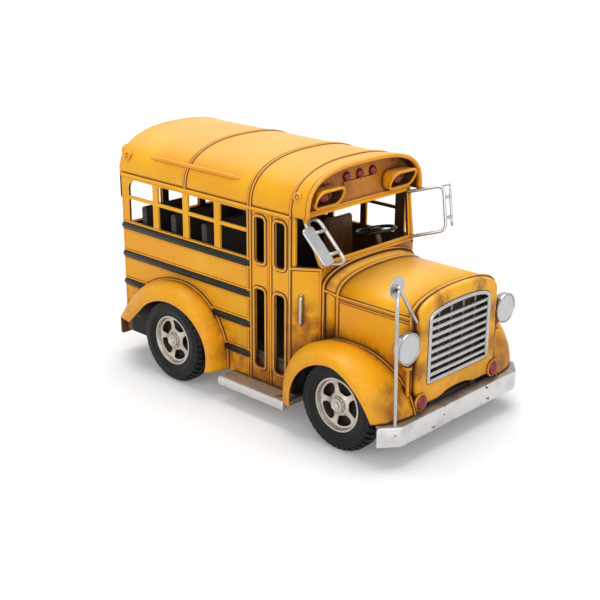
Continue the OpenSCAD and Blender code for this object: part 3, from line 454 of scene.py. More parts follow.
MAT = {
    "paint": paint("yellow_enamel"),
    "shell": paint("yellow_body_enamel", cabin=True),
    # Front header in darker enamel: painted shade under the roof's front rim.
    "header": paint("shaded_enamel", (0.64, 0.25, 0.010), (0.36, 0.115, 0.007), 1.2),
    "bead": paint("yellow_bead", (0.90, 0.43, 0.03), (0.84, 0.34, 0.018), 0.7),
    "cabin": dull("cabin_coat", CABIN, (0.11, 0.045, 0.014)),
    "black": dull("black_rail", (0.006, 0.0055, 0.006), (0.020, 0.016, 0.014), 0.32, gloss=0.3),
    "silver": metal("silver_plate", (0.50, 0.49, 0.475), (0.13, 0.10, 0.08), 0.0, 0.24, 0.85, 0.6),
    "plate": metal("mirror_plate", (0.50, 0.50, 0.50), (0.19, 0.18, 0.175), 0.0, 0.24, 0.85, 0.8, 0.3),
    "bumper": metal("chipped_silver", (0.66, 0.65, 0.65), (0.25, 0.19, 0.14), 0.098, 0.36, 0.6, top=0.9),
    "edge": metal("rubbed_edge", (0.62, 0.60, 0.59), (0.25, 0.19, 0.14), 0.06, 0.34, 0.6, top=0.35),
    # Dark brown rear bumper: rust and painted shade.
    "rust_and_shade": metal("rusted_shaded_bar", (0.14, 0.055, 0.020), (0.030, 0.012, 0.006), 0.03, 0.55, 0.2),
    "board": metal("rubbed_board", (0.33, 0.24, 0.17), (0.08, 0.036, 0.014), 0.09, 0.5, 0.4),
    "wheel": metal("tarnished_shaded_wheel", (0.55, 0.50, 0.44), (0.050, 0.022, 0.010), 0.0, 0.30, 0.85, 1.0,
                   reach=6.0),
    "tarnish": metal("tarnished_post", (0.30, 0.25, 0.19), (0.05, 0.03, 0.016), 0.0, 0.4, 0.6),
    "axle": metal("axle_steel", (0.35, 0.33, 0.30), (0.10, 0.08, 0.06)),
    "tyre": dull("tyre_rubber", (0.0045, 0.0045, 0.0055), (0.012, 0.0115, 0.0125), 0.40, 3.0, 0.03, 0.2),
    "red": lens("red_lens", (0.21, 0.004, 0.010), (0.04, 0.004, 0.004), 0.20),
    "pale": lens("pale_lens", (0.60, 0.61, 0.61), (0.30, 0.28, 0.26), 0.28),
    # Brown of the bands under the beads: grime and painted shade.
    "grime_and_shade": dull("seam_grime_and_shade", (0.085, 0.026, 0.006), (0.20, 0.066, 0.010), 0.6, 2.0),
    "seat": dull("seat_coat", (0.14, 0.052, 0.014), (0.27, 0.11, 0.03), 0.42),
    # Near-black sheets inside the wheel arches: painted shade.
    "well": dull("well_shade_coat", (0.012, 0.010, 0.010), (0.035, 0.026, 0.020), 0.6, gloss=0.2),
    "dark": dull("dark_backing", (0.020, 0.013, 0.010), (0.05, 0.03, 0.02), 0.6),
}

NODE_COATS = {
    "shell": ["right_side_panel", "left_side_panel", "rear_panel", "right_corner_panel", "left_corner_panel",
              "door_rear_leaf", "door_front_leaf", "windshield_frame", "right_sash_bars", "left_sash_bars"],
    "paint": ["drip_rails", "hood_right_side", "hood_left_side"],
    "header": ["front_header"],
    # The bench seats take this dark coat, darker than the driver's seat, as painted shade in the cabin.
    "dark": ["floor_pan", "grille_backing", "bench_seats"],
    "seat": ["driver_seat", "dashboard", "steering_column"],
    "axle": ["front_axle", "rear_axle"],
}


def dress_nodes():
    """Coats on the nodes that no piece replaces."""
    for coat, names in NODE_COATS.items():
        for name in names:
            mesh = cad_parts[name].data
            mesh.materials.clear()
            mesh.materials.append(MAT[coat])


def bend(values):
    return [cos(radians(v)) for v in values], [sin(radians(v)) for v in values]


def roof_half(h):
    return HALF_W * (1 - (h / ROOF_H) ** ROOF_POWER) ** (1 / ROOF_POWER)


# Brown bands laid under the beads: grime and painted shade.
GRIME_AND_SHADE = []
GRIME_AND_SHADE_WIDER, GRIME_AND_SHADE_T = 0.35, 0.2


def over_arc(path, r):
    """Bead on a curve across the bus, with a band of grime and painted shade under it."""
    GRIME_AND_SHADE.append(tube(path, GRIME_AND_SHADE_T, flat=(r + GRIME_AND_SHADE_WIDER) / GRIME_AND_SHADE_T, out=(1, 0, 0)))
    return tube(path, r)


def on_side(path, r, place=both):
    """Bead on the bus's right side, with a band of grime and painted shade under it on the sides that place
    gives.
    """
    wide = r + GRIME_AND_SHADE_WIDER
    GRIME_AND_SHADE.append(place(tube(path, wide, flat=0.22 / wide, out=(0, 1, 0))))
    return tube(path, r)


def make_grime_and_shade():
    piece("grime_and_shade_lines", join(*GRIME_AND_SHADE), "grime_and_shade")


ROLL_R, ROOF_STEPS = 1.2, 72
RIMS = ((ROOF_FRONT_X + 0.5, 0.8, 0.9, BROW_POWER), (ROOF_REAR_X + 0.5, 0.5, 0.75, ROOF_POWER))
STRAPS = ((-37.2, 0.42), (-36.0, 0.42), (1.9, 0.45), (3.3, 0.45), (25.3, 0.5))
SIDE_BAR_X, SIDE_BAR_L, SIDE_BAR_H, SIDE_BAR_STEPS = -62.1, 57, 9.2, 40


def roof_arc(x, inset, power=ROOF_POWER):
    """Curve across the roof, inset from its outside."""
    return raised(arch(HALF_W - inset, ROOF_H - inset, power, ROOF_STEPS), x, DRIP_Z)


def side_bar_r(share):
    """Radius of the long bead on the roof's side, which narrows to its ends."""
    return 0.3 + 0.75 * min(1.0, 14 * share, 14 * (1 - share))


def make_roof():
    """Vaulted roof sheet with rolled ends, straps and side beads."""
    cosines, sines = bend(range(0, 91, 15))
    rear = [(ROOF_REAR_X + ROLL_R * (1 - c), ROLL_R * (1 - s)) for c, s in zip(cosines, sines)]
    front = [(ROOF_FRONT_X - ROLL_R * (1 - s), ROLL_R * (1 - c)) for c, s in zip(cosines, sines)]
    plan = [(x, d, ROOF_POWER) for x, d in rear + [(BROW_X, 0)]] + [(x, d, BROW_POWER) for x, d in front]
    piece("roof_sheet", loft([roof_arc(*place) for place in plan], False, False), "paint",
          node="roof_shell", thick=SHEET, inner="cabin", away=(-25, 0, DRIP_Z - 20))
    piece("roof_rims", join(*[tube(roof_arc(x, inset, power), r) for x, inset, r, power in RIMS]), "bead")
    wires = [over_arc(roof_arc(x, -0.1), r) for x, r in STRAPS]
    y, z = 0.1 - roof_half(SIDE_BAR_H), DRIP_Z + SIDE_BAR_H
    bar = [(SIDE_BAR_X + SIDE_BAR_L * i / SIDE_BAR_STEPS, y, z) for i in range(SIDE_BAR_STEPS + 1)]
    piece("roof_straps", join(*wires, both(tube(bar, side_bar_r))), "bead", node="roof_ribs")


# Curves of the fenders: centre, reach ahead and behind, rise, powers ahead and behind
REAR_SEAM, REAR_LIP = (-39.5, 14.5, 28.5, 37.0, 29.0, 2, 2), (-38.0, 17.3, 24.0, 24.2, 20.0, 2, 2)
FRONT_SEAM, FRONT_LIP = (52.0, 13.0, 31.5, 25.2, 24.5, 2, 2.6), (57.0, 15.5, 19.0, 21.6, 20.5, 1.75, 2)
CORNER_SHARE, CORNER_IN, FLARE_SHARE, TAIL_FLARE = 0.30, 3.0, 0.16, 4.5
FRONT_LIP_Y, FRONT_SWELL, FRONT_ENDS = 47.4, 3.4, (17.3, 12.6)
REAR_LIP_Y, REAR_SWELL, REAR_ENDS = 45.6, 0.6, (SILL_Z, 21.0)
FENDER_WIRE_R, FENDER_T, FENDER_MID_Y = 0.55, 0.9, 28


def signed_pow(v, power):
    return copysign(abs(v) ** power, v)


def bow_point(b, front_z, rear_z, share):
    """Point of the fender curve b that starts at front_z and ends at rear_z."""
    def end(z, power):
        return asin(signed_pow((z - b[1]) / b[4], power / 2))
    first = end(front_z, b[5])
    t = first + (pi - end(rear_z, b[6]) - first) * share
    reach, power = (b[2], b[5]) if cos(t) > 0 else (b[3], b[6])
    return b[0] + reach * signed_pow(cos(t), 2 / power), b[1] + b[4] * signed_pow(sin(t), 2 / power)


def body_half(x):
    if x < DOOR_END_X:
        return HALF_W
    if x < FOOT_X:
        return HALF_W + (FOOT_W - HALF_W) * (x - DOOR_END_X) / (FOOT_X - DOOR_END_X)
    if x < HOOD_X:
        return FOOT_W + (HOOD_HALF - FOOT_W) * (x - FOOT_X) / (HOOD_X - FOOT_X)
    return HOOD_HALF


def fender_rows(seam, lip, lip_y, swell, ends, corner, flare, steps=72, across=14):
    """Rows across a fender from front to tail; corner draws the lip in ahead, flare sweeps its tail back."""
    rows = []
    for i in range(steps + 1):
        row, share = [], i / steps
        ahead = max(0.0, 1 - share / CORNER_SHARE)
        lip_end = lip_y - corner * ahead ** 2
        sweep = flare * max(0.0, 1 - (1 - share) / FLARE_SHARE) ** 2
        for j in range(across + 1):
            s = pi / 2 * j / across
            k = cos(s)
            b = [q + (p - q) * k for p, q in zip(seam, lip)]
            b[4] += swell * sin(2 * s)
            x, z = bow_point(b, ends[0], ends[1], share)
            if j == 0:
                start = body_half(x)
            row.append((x - sweep * sin(s), -(start + (lip_end - start) * sin(s)), z))
        rows.append(row)
    return rows


def make_fenders():
    plans = {"front": (FRONT_SEAM, FRONT_LIP, FRONT_LIP_Y, FRONT_SWELL, FRONT_ENDS, CORNER_IN, 0),
             "rear": (REAR_SEAM, REAR_LIP, REAR_LIP_Y, REAR_SWELL, REAR_ENDS, 0, TAIL_FLARE)}
    for end, plan in plans.items():
        rows = fender_rows(*plan)
        sheet = loft(rows, False, False)
        lip_wire = tube([(x, y + 0.35, z) for x, y, z in (row[-1] for row in rows)], FENDER_WIRE_R)
        seam_wire = on_side([(x, y - 0.25, z + 0.1) for x, y, z in (row[0] for row in rows)], FENDER_WIRE_R)
        for side, turn in SIDES:
            mid_y = -FENDER_MID_Y if side == "right" else FENDER_MID_Y
            piece(f"{side}_{end}_fender_sheet", turn(sheet), "paint", node=f"{side}_{end}_fender",
                  thick=FENDER_T, inner="cabin", away=(AXLES[end], mid_y, 12))
            piece(f"{side}_{end}_fender_wires", turn(join(lip_wire, seam_wire)), "bead")


RAIL_IN, RAIL_OUT, RAIL_LOW, BORE_Z = 12.0, 15.0, 15.0, 20.75
FRAME_REAR, FRAME_FRONT, BORE_GAP = -81.8, 80.5, 2.0
TIES, TIE_W, TIE_H, BELLY_GAP, BELLY_T = (-76.8, -26.4, 24.0, 74.3), 5, 3, 6, 1.2
IRON_LOW, IRON_TOP, IRON_LAP, IRON_END = 12.0, BUMPER_TOP - 1.4, 2, NOSE_X - 1.2
WELL_STEPS, WELL_OUT, WELL_T = 40, 0.25, 0.2


def bar_x(x0, x1, y0, z0, y1, z1, r=0.4):
    """Bar along x with rounded edges."""
    return loft([[(x, y, z) for y, z in round_rect(y0, z0, y1, z1, r)] for x in (x0, x1)])


def make_chassis():
    """Ladder frame clear of the axles, with low irons that carry the bumper."""
    breaks = [FRAME_REAR, REAR_AXLE_X - BORE_GAP, REAR_AXLE_X + BORE_GAP, FRONT_AXLE_X - BORE_GAP,
              FRONT_AXLE_X + BORE_GAP, FRAME_FRONT]
    sides = [bar_x(FRAME_REAR, FRAME_FRONT, RAIL_IN, BORE_Z, RAIL_OUT, FRAME_Z)]
    sides += [bar_x(a, b, RAIL_IN, RAIL_LOW, RAIL_OUT, BORE_Z) for a, b in zip(breaks[::2], breaks[1::2])]
    sides.append(bar_x(FRAME_FRONT - IRON_LAP, IRON_END, RAIL_IN, IRON_LOW, RAIL_OUT, IRON_TOP))
    ties = [bar_x(x, x + TIE_W, -RAIL_IN, RAIL_LOW, RAIL_IN, RAIL_LOW + TIE_H) for x in TIES]
    ties.append(bar_x(REAR_AXLE_X + BELLY_GAP, FRONT_AXLE_X - BELLY_GAP, -RAIL_IN, RAIL_LOW, RAIL_IN,
                      RAIL_LOW + BELLY_T))
    piece("ladder_frame", join(both(join(*sides)), *ties), "dark", node="chassis_frame")


def make_well_shades():
    """Dark sheet on the body inside each wheel arch, standing in as painted shade."""
    for end, seam, ends in (("front", FRONT_SEAM, FRONT_ENDS), ("rear", REAR_SEAM, REAR_ENDS)):
        rows = []
        for i in range(WELL_STEPS + 1):
            x, z = bow_point(seam, ends[0], ends[1], i / WELL_STEPS)
            y = -body_half(x) - WELL_OUT
            low = min(z - 0.6, SILL_Z)
            rows.append([(x, y, z - 0.3), (x, y, (z + low) / 2), (x, y, low)])
        piece(f"{end}_wells", both(loft(rows, False, False)), "well", thick=WELL_T)


def hood_arc(x, half, edge, crown, low, n=56):
    """Path from one side of the hood over its crown to the other side."""
    top = raised(arch(half, crown - edge, HOOD_POWER, n), x, edge)
    return [Vector((x, half, low))] + top + [Vector((x, -half, low))]


def make_hood():
    rise = FOOT_Z - HOOD_CROWN_Z
    foot = hood_arc(FOOT_X, FOOT_W, HOOD_EDGE_Z + rise, FOOT_Z, FRAME_Z)
    rear = hood_arc(HOOD_X, HOOD_HALF, HOOD_EDGE_Z, HOOD_CROWN_Z, FRAME_Z)
    piece("cowl_sheet", loft([foot, rear], False, False), "paint",
          node="cowl", thick=SHEET, away=(39, 0, 30))
    tops = [raised(arch(HOOD_HALF, HOOD_CROWN_Z - HOOD_EDGE_Z, HOOD_POWER), x, HOOD_EDGE_Z)
            for x in (HOOD_X, 61, SHELL_X)]
    piece("hood_sheet", loft(tops, False, False), "paint", node="hood_top", thick=SHEET, away=(61, 0, 40))
    half, edge, crown = HOOD_HALF + 0.1, HOOD_EDGE_Z, HOOD_CROWN_Z + 0.1
    arcs = [over_arc(hood_arc(FOOT_X + 1.0, FOOT_W - 0.1, edge + rise, FOOT_Z + 0.1, 30), 0.5),
            over_arc(hood_arc(HOOD_X, half, edge, crown, 32), 0.6),
            over_arc(hood_arc(SHELL_X - 0.6, half, edge, crown, FRAME_Z), 0.55)]
    lines = [on_side([(FOOT_X + 1, -FOOT_W + 0.2, edge + 1.2), (HOOD_X, -HOOD_HALF, edge - 0.4)], 0.5)]
    for drop, r in ((0.4, 0.45), (2.2, 0.35)):
        lines.append(on_side([(x, -HOOD_HALF, edge - drop) for x in (HOOD_X, SHELL_X - 1)], r))
    piece("hood_seams", join(*arcs, both(join(*lines))), "bead")


def front_outline(half, low, edge, rise, notch=0.0):
    side = [low + (edge - low) * i / 8 for i in range(8)]
    pts = [(half, z) for z in side] + [(y, edge + h) for y, h in arch(half, rise, HOOD_POWER, 40)]
    pts += [(-half, z) for z in reversed(side)]
    for i in range(1, 20):
        y = half * (i / 10 - 1)
        pts.append((y, low + notch * sqrt(max(0.0, 1 - (y / NOTCH_HALF) ** 2))))
    return pts


def make_front():
    """Radiator shell with a rounded front edge, and the bright grille in it."""
    def outer(x, d):
        pts = front_outline(SHELL_HALF - d, APRON_Z + d / 2, HOOD_EDGE_Z, SHELL_RISE - d, APRON_NOTCH)
        return [(x, y, z) for y, z in pts]

    def hole(x, d):
        pts = front_outline(GRILLE_HALF + d, GRILLE_Z - d, GRILLE_Z + GRILLE_SIDE_H, GRILLE_RISE + d)
        return [(x, y, z) for y, z in pts]

    rings = [outer(SHELL_X, 0), outer(81.0, 0), outer(81.8, 0.3), outer(82.3, 0.9), outer(SHELL_FRONT_X, 1.7),
             hole(SHELL_FRONT_X, 0.9), hole(82.3, 0.3), hole(81.8, 0), hole(SHELL_X, 0)]
    piece("radiator_face", loft(rings, around=True), "paint", node="radiator_shell", sharp=50)
    rim = tube(hole(82.3, -0.5), 0.85, loop=True)
    bars = []
    for i in range(1, GRILLE_BARS + 1):
        z = GRILLE_Z + i * (GRILLE_SIDE_H + GRILLE_RISE / 2) / (GRILLE_BARS + 1)
        over = max(0.0, z - GRILLE_Z - GRILLE_SIDE_H) / GRILLE_RISE
        half = GRILLE_HALF * (1 - over ** HOOD_POWER) ** (1 / HOOD_POWER) - 0.4
        bars.append(tube([(82.0, -half, z), (82.1, 0, z), (82.0, half, z)], 0.84))
    posts = []
    for i in range(1, GRILLE_POSTS + 1):
        y = i * 2 * GRILLE_HALF / (GRILLE_POSTS + 1) - GRILLE_HALF
        posts.append(tube(upright(80.7, y, GRILLE_Z + 0.5, GRILLE_Z + GRILLE_SIDE_H + 3.2), 0.45))
    piece("grille_work", join(rim, *bars), "silver", node="grille")
    piece("grille_posts", join(*posts), "tarnish")


def make_bumpers():
    corners = [(WING_X, -WING_Y, 0), (NOSE_X, -BUMPER_HALF, 0), (NOSE_X, BUMPER_HALF, 0), (WING_X, WING_Y, 0)]
    plan = fillet(corners, 1.6)
    rings = []
    for i, p in enumerate(plan):
        along = (plan[min(i + 1, len(plan) - 1)] - plan[max(i - 1, 0)]).normalized()
        inward = Vector((-along.y, along.x, 0))
        depth = 4.5 - 2.1 * min(1.0, max(0.0, abs(p.y) - 37.0) / 8)
        low, top = BUMPER_LOW, BUMPER_TOP
        section = [(0.15, low + 0.3), (0, low + 0.9), (0, top - 0.9), (0.25, top - 0.3), (0.9, top),
                   (depth, top), (depth, top - 1.2), (1.2, top - 1.2), (1.2, low), (0.6, low)]
        rings.append([p + inward * d + Vector((0, 0, z)) for d, z in section])
    piece("front_bumper_bar", loft(rings), "bumper", node="front_bumper")
    rear = slab(round_rect(-REAR_BUMPER_HALF, BUMPER_LOW, REAR_BUMPER_HALF, BUMPER_TOP, 1.2), 1.2, 0.4)
    piece("rear_bumper_bar", placed(rear, moved(REAR_BUMPER_X, 0, 0)), "rust_and_shade", node="rear_bumper")


BOARD_REAR, BOARD_FRONT, BOARD_IN, BOARD_OUT, BOARD_LOW = -8, 31, -27.5, -43.6, 9.2
RIBS, RIB_Y, RIB_PITCH, RIB_H = 6, -42.8, 1.25, 0.2
BOARD_EDGE = (-7.6, 30.4, -44.9, 7.5, -41.2, 11.6, 1.4)


def make_boards():
    """Running boards: a ribbed step with a rolled outer edge."""
    flat = SILL_Z - RIB_H
    section = [(BOARD_IN, SILL_Z), (BOARD_IN, BOARD_LOW), (BOARD_OUT, BOARD_LOW), (BOARD_OUT, flat)]
    for i in range(RIBS):
        y = RIB_Y + i * RIB_PITCH
        section += [(y, flat), (y + 0.15, SILL_Z), (y + 0.65, SILL_Z), (y + 0.8, flat)]
    step = loft([[(x, y, z) for y, z in section] for x in (BOARD_REAR, BOARD_FRONT)])
    for side, turn in SIDES:
        piece(f"{side}_step", turn(step), "board", node=f"{side}_running_board")
        piece(f"{side}_step_edge", turn(bar_x(*BOARD_EDGE)), "edge")


# Radius and place along the axle of points on the tyre
TYRE_SIDE = [(RIM_R, 43.4), (11.5, 44.1), (12.1, 44.3), (12.5, 44.15), (12.9, 44.45), (14.0, 44.6),
             (15.2, 44.6), (15.6, 44.4), (16.0, 44.55), (16.9, 44.3)]
TYRE_SHOULDER = [(17.6, 43.9), (18.3, 43.3), (18.8, 42.5), (TYRE_R, 41.8)]
BLOCKS, BLOCK_SHARE, BLOCK_DEPTH = 40, 0.62, 0.45


def tyre():
    """Right tyre about +Z: round sidewalls with rings, and blocks cut into both shoulders."""
    rings = []
    for i in range(BLOCKS):
        for share, cut in ((0.0, 0), (BLOCK_SHARE - 0.04, 0), (BLOCK_SHARE, 1), (0.96, 1)):
            a = 2 * pi * (i + share) / BLOCKS
            ring = []
            for side in (1, -1):
                part = TYRE_SIDE + [(r - cut * BLOCK_DEPTH, h - cut * 0.35) for r, h in TYRE_SHOULDER]
                part += [(TYRE_R, 41.4), (TYRE_R, 40.75), (TYRE_R - 0.5, 40.6)]
                points = [(r, WHEEL_IN + WHEEL_OUT - h if side < 0 else h) for r, h in part]
                ring += points if side > 0 else list(reversed(points))
            rings.append([polar(r, a, h) for r, h in ring])
    return loft(rings, around=True)


SPOKES, DISC_IN, DISC_OUT = 5, 3.4, 9.9
WINDOW_R, WINDOW_REACH, SPOKE_HALF, SPOKE_FLARE, SPOKE_WAIST_R = 6.9, 2.0, 1.15, 0.10, 6.5
BOLTS, BOLT_CIRCLE_R = 10, 2.95
BACK_PLATE = [(9.4, 38.2), (9.4, 38.8), (3.0, 39.2), (3.0, 38.2)]


def disc_height(r):
    s = (r - DISC_IN) / (DISC_OUT - DISC_IN)
    return 42.7 - 1.5 * sin(pi * min(1.0, s * 1.15) * 0.75) + 0.6 * s * s


def wheel_disc():
    """Dished disc about +Z with rounded windows between its spokes."""
    pitch, count = pi / SPOKES, 32
    shapes = []
    for k in range(SPOKES):
        rings = []
        for blend in (0.0, 0.12, 0.4, 0.7, 1.0):
            ring = []
            for t in turns(count):
                c, s = cos(t), sin(t)
                big = max(abs(c), abs(s))
                r_in = WINDOW_R + WINDOW_REACH * signed_pow(c, 0.5)
                spoke = SPOKE_HALF + SPOKE_FLARE * abs(r_in - SPOKE_WAIST_R)
                a_in = (pitch - spoke / r_in) * signed_pow(s, 0.5)
                r_out = (DISC_IN + DISC_OUT) / 2 + c / big * (DISC_OUT - DISC_IN) / 2
                r, a = r_in + (r_out - r_in) * blend, a_in + (s / big * pitch - a_in) * blend
                a += 2 * pitch * k
                ring.append(polar(r, a, disc_height(r) - (0.35 if blend == 0 else 0)))
            rings.append(ring)
        shapes.append(loft(rings, caps=False))
    return join(*shapes)


def wheel_rim():
    rim = [(RIM_R, 36.9), (RIM_R, 43.4), (11.0, 43.75), (10.6, 43.9), (10.25, 43.75), (10.1, 43.3),
           (9.7, 42.4), (9.5, 41.6), (9.5, 36.9)]
    hub = [(3.5, 40), (3.5, 42.8), (3.35, 43.1), (2.9, 43.15), (2.75, 43.4), (2.7, 43.85), (2.3, 44.0),
           (2.1, 43.8), (1.6, 43.8), (1.4, 44.3), (1.0, 44.5), (0.05, 44.55)]
    ring = loft([[polar(r, a, h) for r, h in rim] for a in turns(64)], around=True)
    bolt = [(0.32, 42.4), (0.32, 43.55), (0.24, 43.7), (0.02, 43.72)]
    places = [moved(*polar(BOLT_CIRCLE_R, a)) for a in turns(BOLTS)]
    return join(ring, lathe(hub), grouped(lathe(bolt, 8), places))


def make_wheels():
    outward = turned(90, "X")
    for end, axle_x in AXLES.items():
        at, body = moved(axle_x, 0, AXLE_Z) @ outward, f"{end}_wheelset"
        piece(f"{end}_tyre_pair", both(placed(tyre(), at)), "tyre", body, node=f"{end}_tyres", sharp=50)
        for side, turn in SIDES:
            node = f"{end}_{side}_wheel"
            piece(f"{node}_rim", turn(placed(wheel_rim(), at)), "wheel", body, node=node)
            piece(f"{node}_back", turn(placed(lathe(BACK_PLATE), at)), "dark", body)
            piece(f"{node}_disc", turn(placed(wheel_disc(), at)), "wheel", body, thick=0.8,
                  away=(axle_x, 0, AXLE_Z))


RAKE, PILLAR_IN = atan2(6.2, 21.8), 1.1
MIRROR_REACH, LOOP_R, WIRE_R, WIRE_SIDES = 13.0, 2.6, 0.74, 12
LOOP_TOP_SHARE, LOOP_LOW_SHARE = 0.88, 0.06
PLATE_W, PLATE_HALF, PLATE_T, PLATE_R = 6.6, 8, 0.9, 1.4
# Share of the reach at the top, splay, length of the stubs and turn of the plate in degrees
MIRRORS = {"right": (0.46, 0, 5.5, 8), "left": (1, 8, 4, -36)}
HOOD_MIRROR_AT = (80.0, -35.8, 69.9)
HOOD_MIRROR_WIRE = [(83.2, -39.2, BUMPER_TOP), (82.2, -39.2, 65.3), HOOD_MIRROR_AT, (81.1, -25.8, 54.2)]
HOOD_MIRROR_BOSS = [(0.9, -0.9), (0.9, 0.4), (0.6, 0.8), (0.05, 0.9)]
HOOD_MIRROR_BOWL = [(0.05, -2.4), (1.5, -2.2), (2.9, -1.75), (3.9, -1.2), (4.2, -0.9), (4.25, -0.65),
                    (4.0, -0.5), (3.6, -0.65), (2.0, -0.62), (0.05, -0.6)]
HANDLE_FOOT, HANDLE_OUT, HANDLE_H = (29.0, -32.94, 42.0), (0.91, -1.32, 0), 11


def pillar(share, reach=0.0):
    """Point on the right windshield pillar, or in front of it."""
    foot = Vector((FOOT_X, PILLAR_IN - FOOT_W, FOOT_Z))
    head = Vector((HEADER_X, PILLAR_IN - HEAD_W, HEADER_Z))
    return foot + (head - foot) * share + Vector((reach * cos(RAKE), 0, reach * sin(RAKE)))


def mirror(top_share, splay, stub, degrees):
    """Wire loop and plate of a side mirror on the right."""
    high, low, out = pillar(LOOP_TOP_SHARE), pillar(LOOP_LOW_SHARE), Vector((0, -splay, 0))
    top = pillar(LOOP_TOP_SHARE, MIRROR_REACH * top_share) + out
    bottom = pillar(LOOP_LOW_SHARE, MIRROR_REACH) + out
    fall = bottom - top
    inset = fall.normalized() * 2 * LOOP_R
    loop = tube(fillet([high, top, bottom, low], 3.2, 8), WIRE_R, WIRE_SIDES)
    stubs = [tube([p, p - Vector((0, stub, 0))], WIRE_R, WIRE_SIDES) for p in (top + inset, bottom - inset)]
    edge = Vector((0, -stub - abs(sin(radians(degrees))) * PLATE_T / 2, 0))
    at = Matrix.Translation((top + bottom) / 2 + edge) @ Matrix.Rotation(-atan2(fall.x, -fall.z), 4, "Y")
    lean = atan2(fall.y, hypot(fall.x, fall.z))
    at = at @ Matrix.Rotation(lean, 4, "X") @ turned(degrees, "Z")
    outline = round_rect(-PLATE_W, -PLATE_HALF, 0, PLATE_HALF, PLATE_R)
    plate = placed(slab(outline, PLATE_T, 0.3), at @ moved(-PLATE_T / 2, 0, 0))
    rim_line = round_rect(0.1 - PLATE_W, 0.1 - PLATE_HALF, -0.1, PLATE_HALF - 0.1, PLATE_R)
    rim = tube([at @ Vector((0, y, z)) for y, z in rim_line], 0.5, loop=True)
    neck = tube([at @ Vector((0, -3.3, 7.6)), at @ Vector((0, -2.6, 9.6)), (high + top) / 2], 0.55)
    return join(loop, *stubs, neck), join(plate, rim)


def make_mirrors():
    for side, turn in SIDES:
        arm, plate = mirror(*MIRRORS[side])
        piece(f"{side}_mirror_wire", turn(arm), "silver", node=f"{side}_mirror_arm")
        piece(f"{side}_mirror_plate", turn(plate), "plate", node=f"{side}_mirror")


def make_hood_mirror():
    """Round mirror on a wire from the bumper."""
    at = facing_x(*HOOD_MIRROR_AT)
    wire = tube(fillet(HOOD_MIRROR_WIRE, 3.0, 8), WIRE_R, WIRE_SIDES)
    boss = placed(lathe(HOOD_MIRROR_BOSS, 16), at)
    piece("hood_mirror_wire", join(wire, boss), "silver", node="hood_mirror_arm")
    piece("hood_mirror_disc", placed(lathe(HOOD_MIRROR_BOWL), at), "plate", node="hood_mirror")


def make_handle():
    low, out = Vector(HANDLE_FOOT), Vector(HANDLE_OUT)
    high, half = low + Vector((0, 0, HANDLE_H)), Vector((0, 0, 0.9))
    grip = tube(fillet([low, low + out, high + out, high], 1.4, 6), WIRE_R, WIRE_SIDES)
    feet = [tube([p + out * 0.1 - half, p + out * 0.1 + half], 0.55) for p in (low, high)]
    piece("handle_wire", join(grip, *feet), "silver", node="grab_handle")


HEADLIGHT_AT, COLLAR_AT, STEM_R = (81.4, -31.3, 45.4), (-1.6, 2.8, -9.0), 0.75
BOWL = [(0.05, -5.5), (1.5, -5.3), (3.2, -4.6), (4.7, -3.4), (5.7, -2.2), (6.2, -1.2), (6.3, 0.6),
        (6.35, 1.0), (6.25, 1.35), (5.95, 1.45), (5.75, 1.2), (5.7, 0.6)]
GLASS = [(5.75, 0.5), (5.7, 1.1), (5.2, 1.35), (4.0, 1.65), (2.6, 1.85), (1.2, 1.95), (0.05, 2.0)]
STEM = [(-2.4, 0.4, -4.6), (-1.6, 2.7, -8.6), (-1.6, 2.9, -9.2), (-1.6, 3.1, -20.6)]
COLLAR = [(1.2, -0.6), (1.7, -0.5), (1.8, 0), (1.7, 0.5), (1.2, 0.6)]


def make_headlights():
    ahead, collar = facing_x(*HEADLIGHT_AT), placed(lathe(COLLAR, 24), moved(*COLLAR_AT))
    post = placed(join(tube(STEM, STEM_R, 14), collar), moved(*HEADLIGHT_AT))
    piece("headlight_bowls", both(placed(lathe(BOWL), ahead)), "silver", node="headlight_buckets")
    piece("headlight_stems", both(post), "bead")
    piece("headlight_glasses", both(placed(lathe(GLASS), ahead)), "pale", node="headlight_lenses")


def dome(r, base, rise):
    """Lens about +Z with a rounded rim."""
    curve = [(r * c, base + rise * s) for c, s in zip(*bend(range(0, 86, 12)))]
    return lathe([(r, 0)] + curve + [(0.02, base + rise)], 32)


SIGNAL_Y, SIGNAL_Z, ROOF_LAMP_Y, ROOF_LAMP_Z, MARKER_PITCH, MARKER_Z = 23.6, 21.6, 22.5, 92.1, 8, 97.6
BEZEL = [(2.9, 0), (3.5, 0), (3.6, 0.5), (3.45, 0.85), (3.2, 0.9), (2.95, 0.6)]
LAMP_WALLS = (moved(HEADER_X, 0, 0), moved(REAR_X, 0, 0) @ turned(180, "Z"))
HOOD_BOX, HOOD_CORNER_R = (14.5, 88.1, 30.5, 96.1), 3.4
HOOD_REACH, HOOD_LOW_SHARE, LINER_INSET = 6.5, 0.42, 0.85


def make_lamps():
    """Red lamps with bezels, and the hoods over the roof lamps."""
    signals = [facing_x(SHELL_FRONT_X, y, SIGNAL_Z) for y in (-SIGNAL_Y, SIGNAL_Y)]
    piece("signal_lenses", grouped(dome(3.05, 0.6, 1.9), signals), "red", node="signal_lamps")
    piece("signal_bezels", grouped(lathe(BEZEL, 40), signals), "bead")
    roof = [wall @ facing_x(0, y, ROOF_LAMP_Z) for wall in LAMP_WALLS for y in (-ROOF_LAMP_Y, ROOF_LAMP_Y)]
    piece("roof_lenses", grouped(dome(2.7, 1.2, 1.6), roof), "red", node="warning_lamps")
    marks = [facing_x(HEADER_X, i * MARKER_PITCH, MARKER_Z) for i in (-1, 0, 1)]
    piece("marker_lenses", grouped(dome(1.9, 0.6, 1.2), marks), "red", node="marker_lamps")
    shell, rim = lamp_hood()
    liner, _ = lamp_hood(LINER_INSET)
    plans = {"shells": (shell, "paint", "lamp_hoods"), "liners": (liner, "cabin", None),
             "rims": (rim, "bead", None)}
    for part, (shape, coat, node) in plans.items():
        piece(f"lamp_hood_{part}", grouped(both(shape), LAMP_WALLS), coat, node=node)


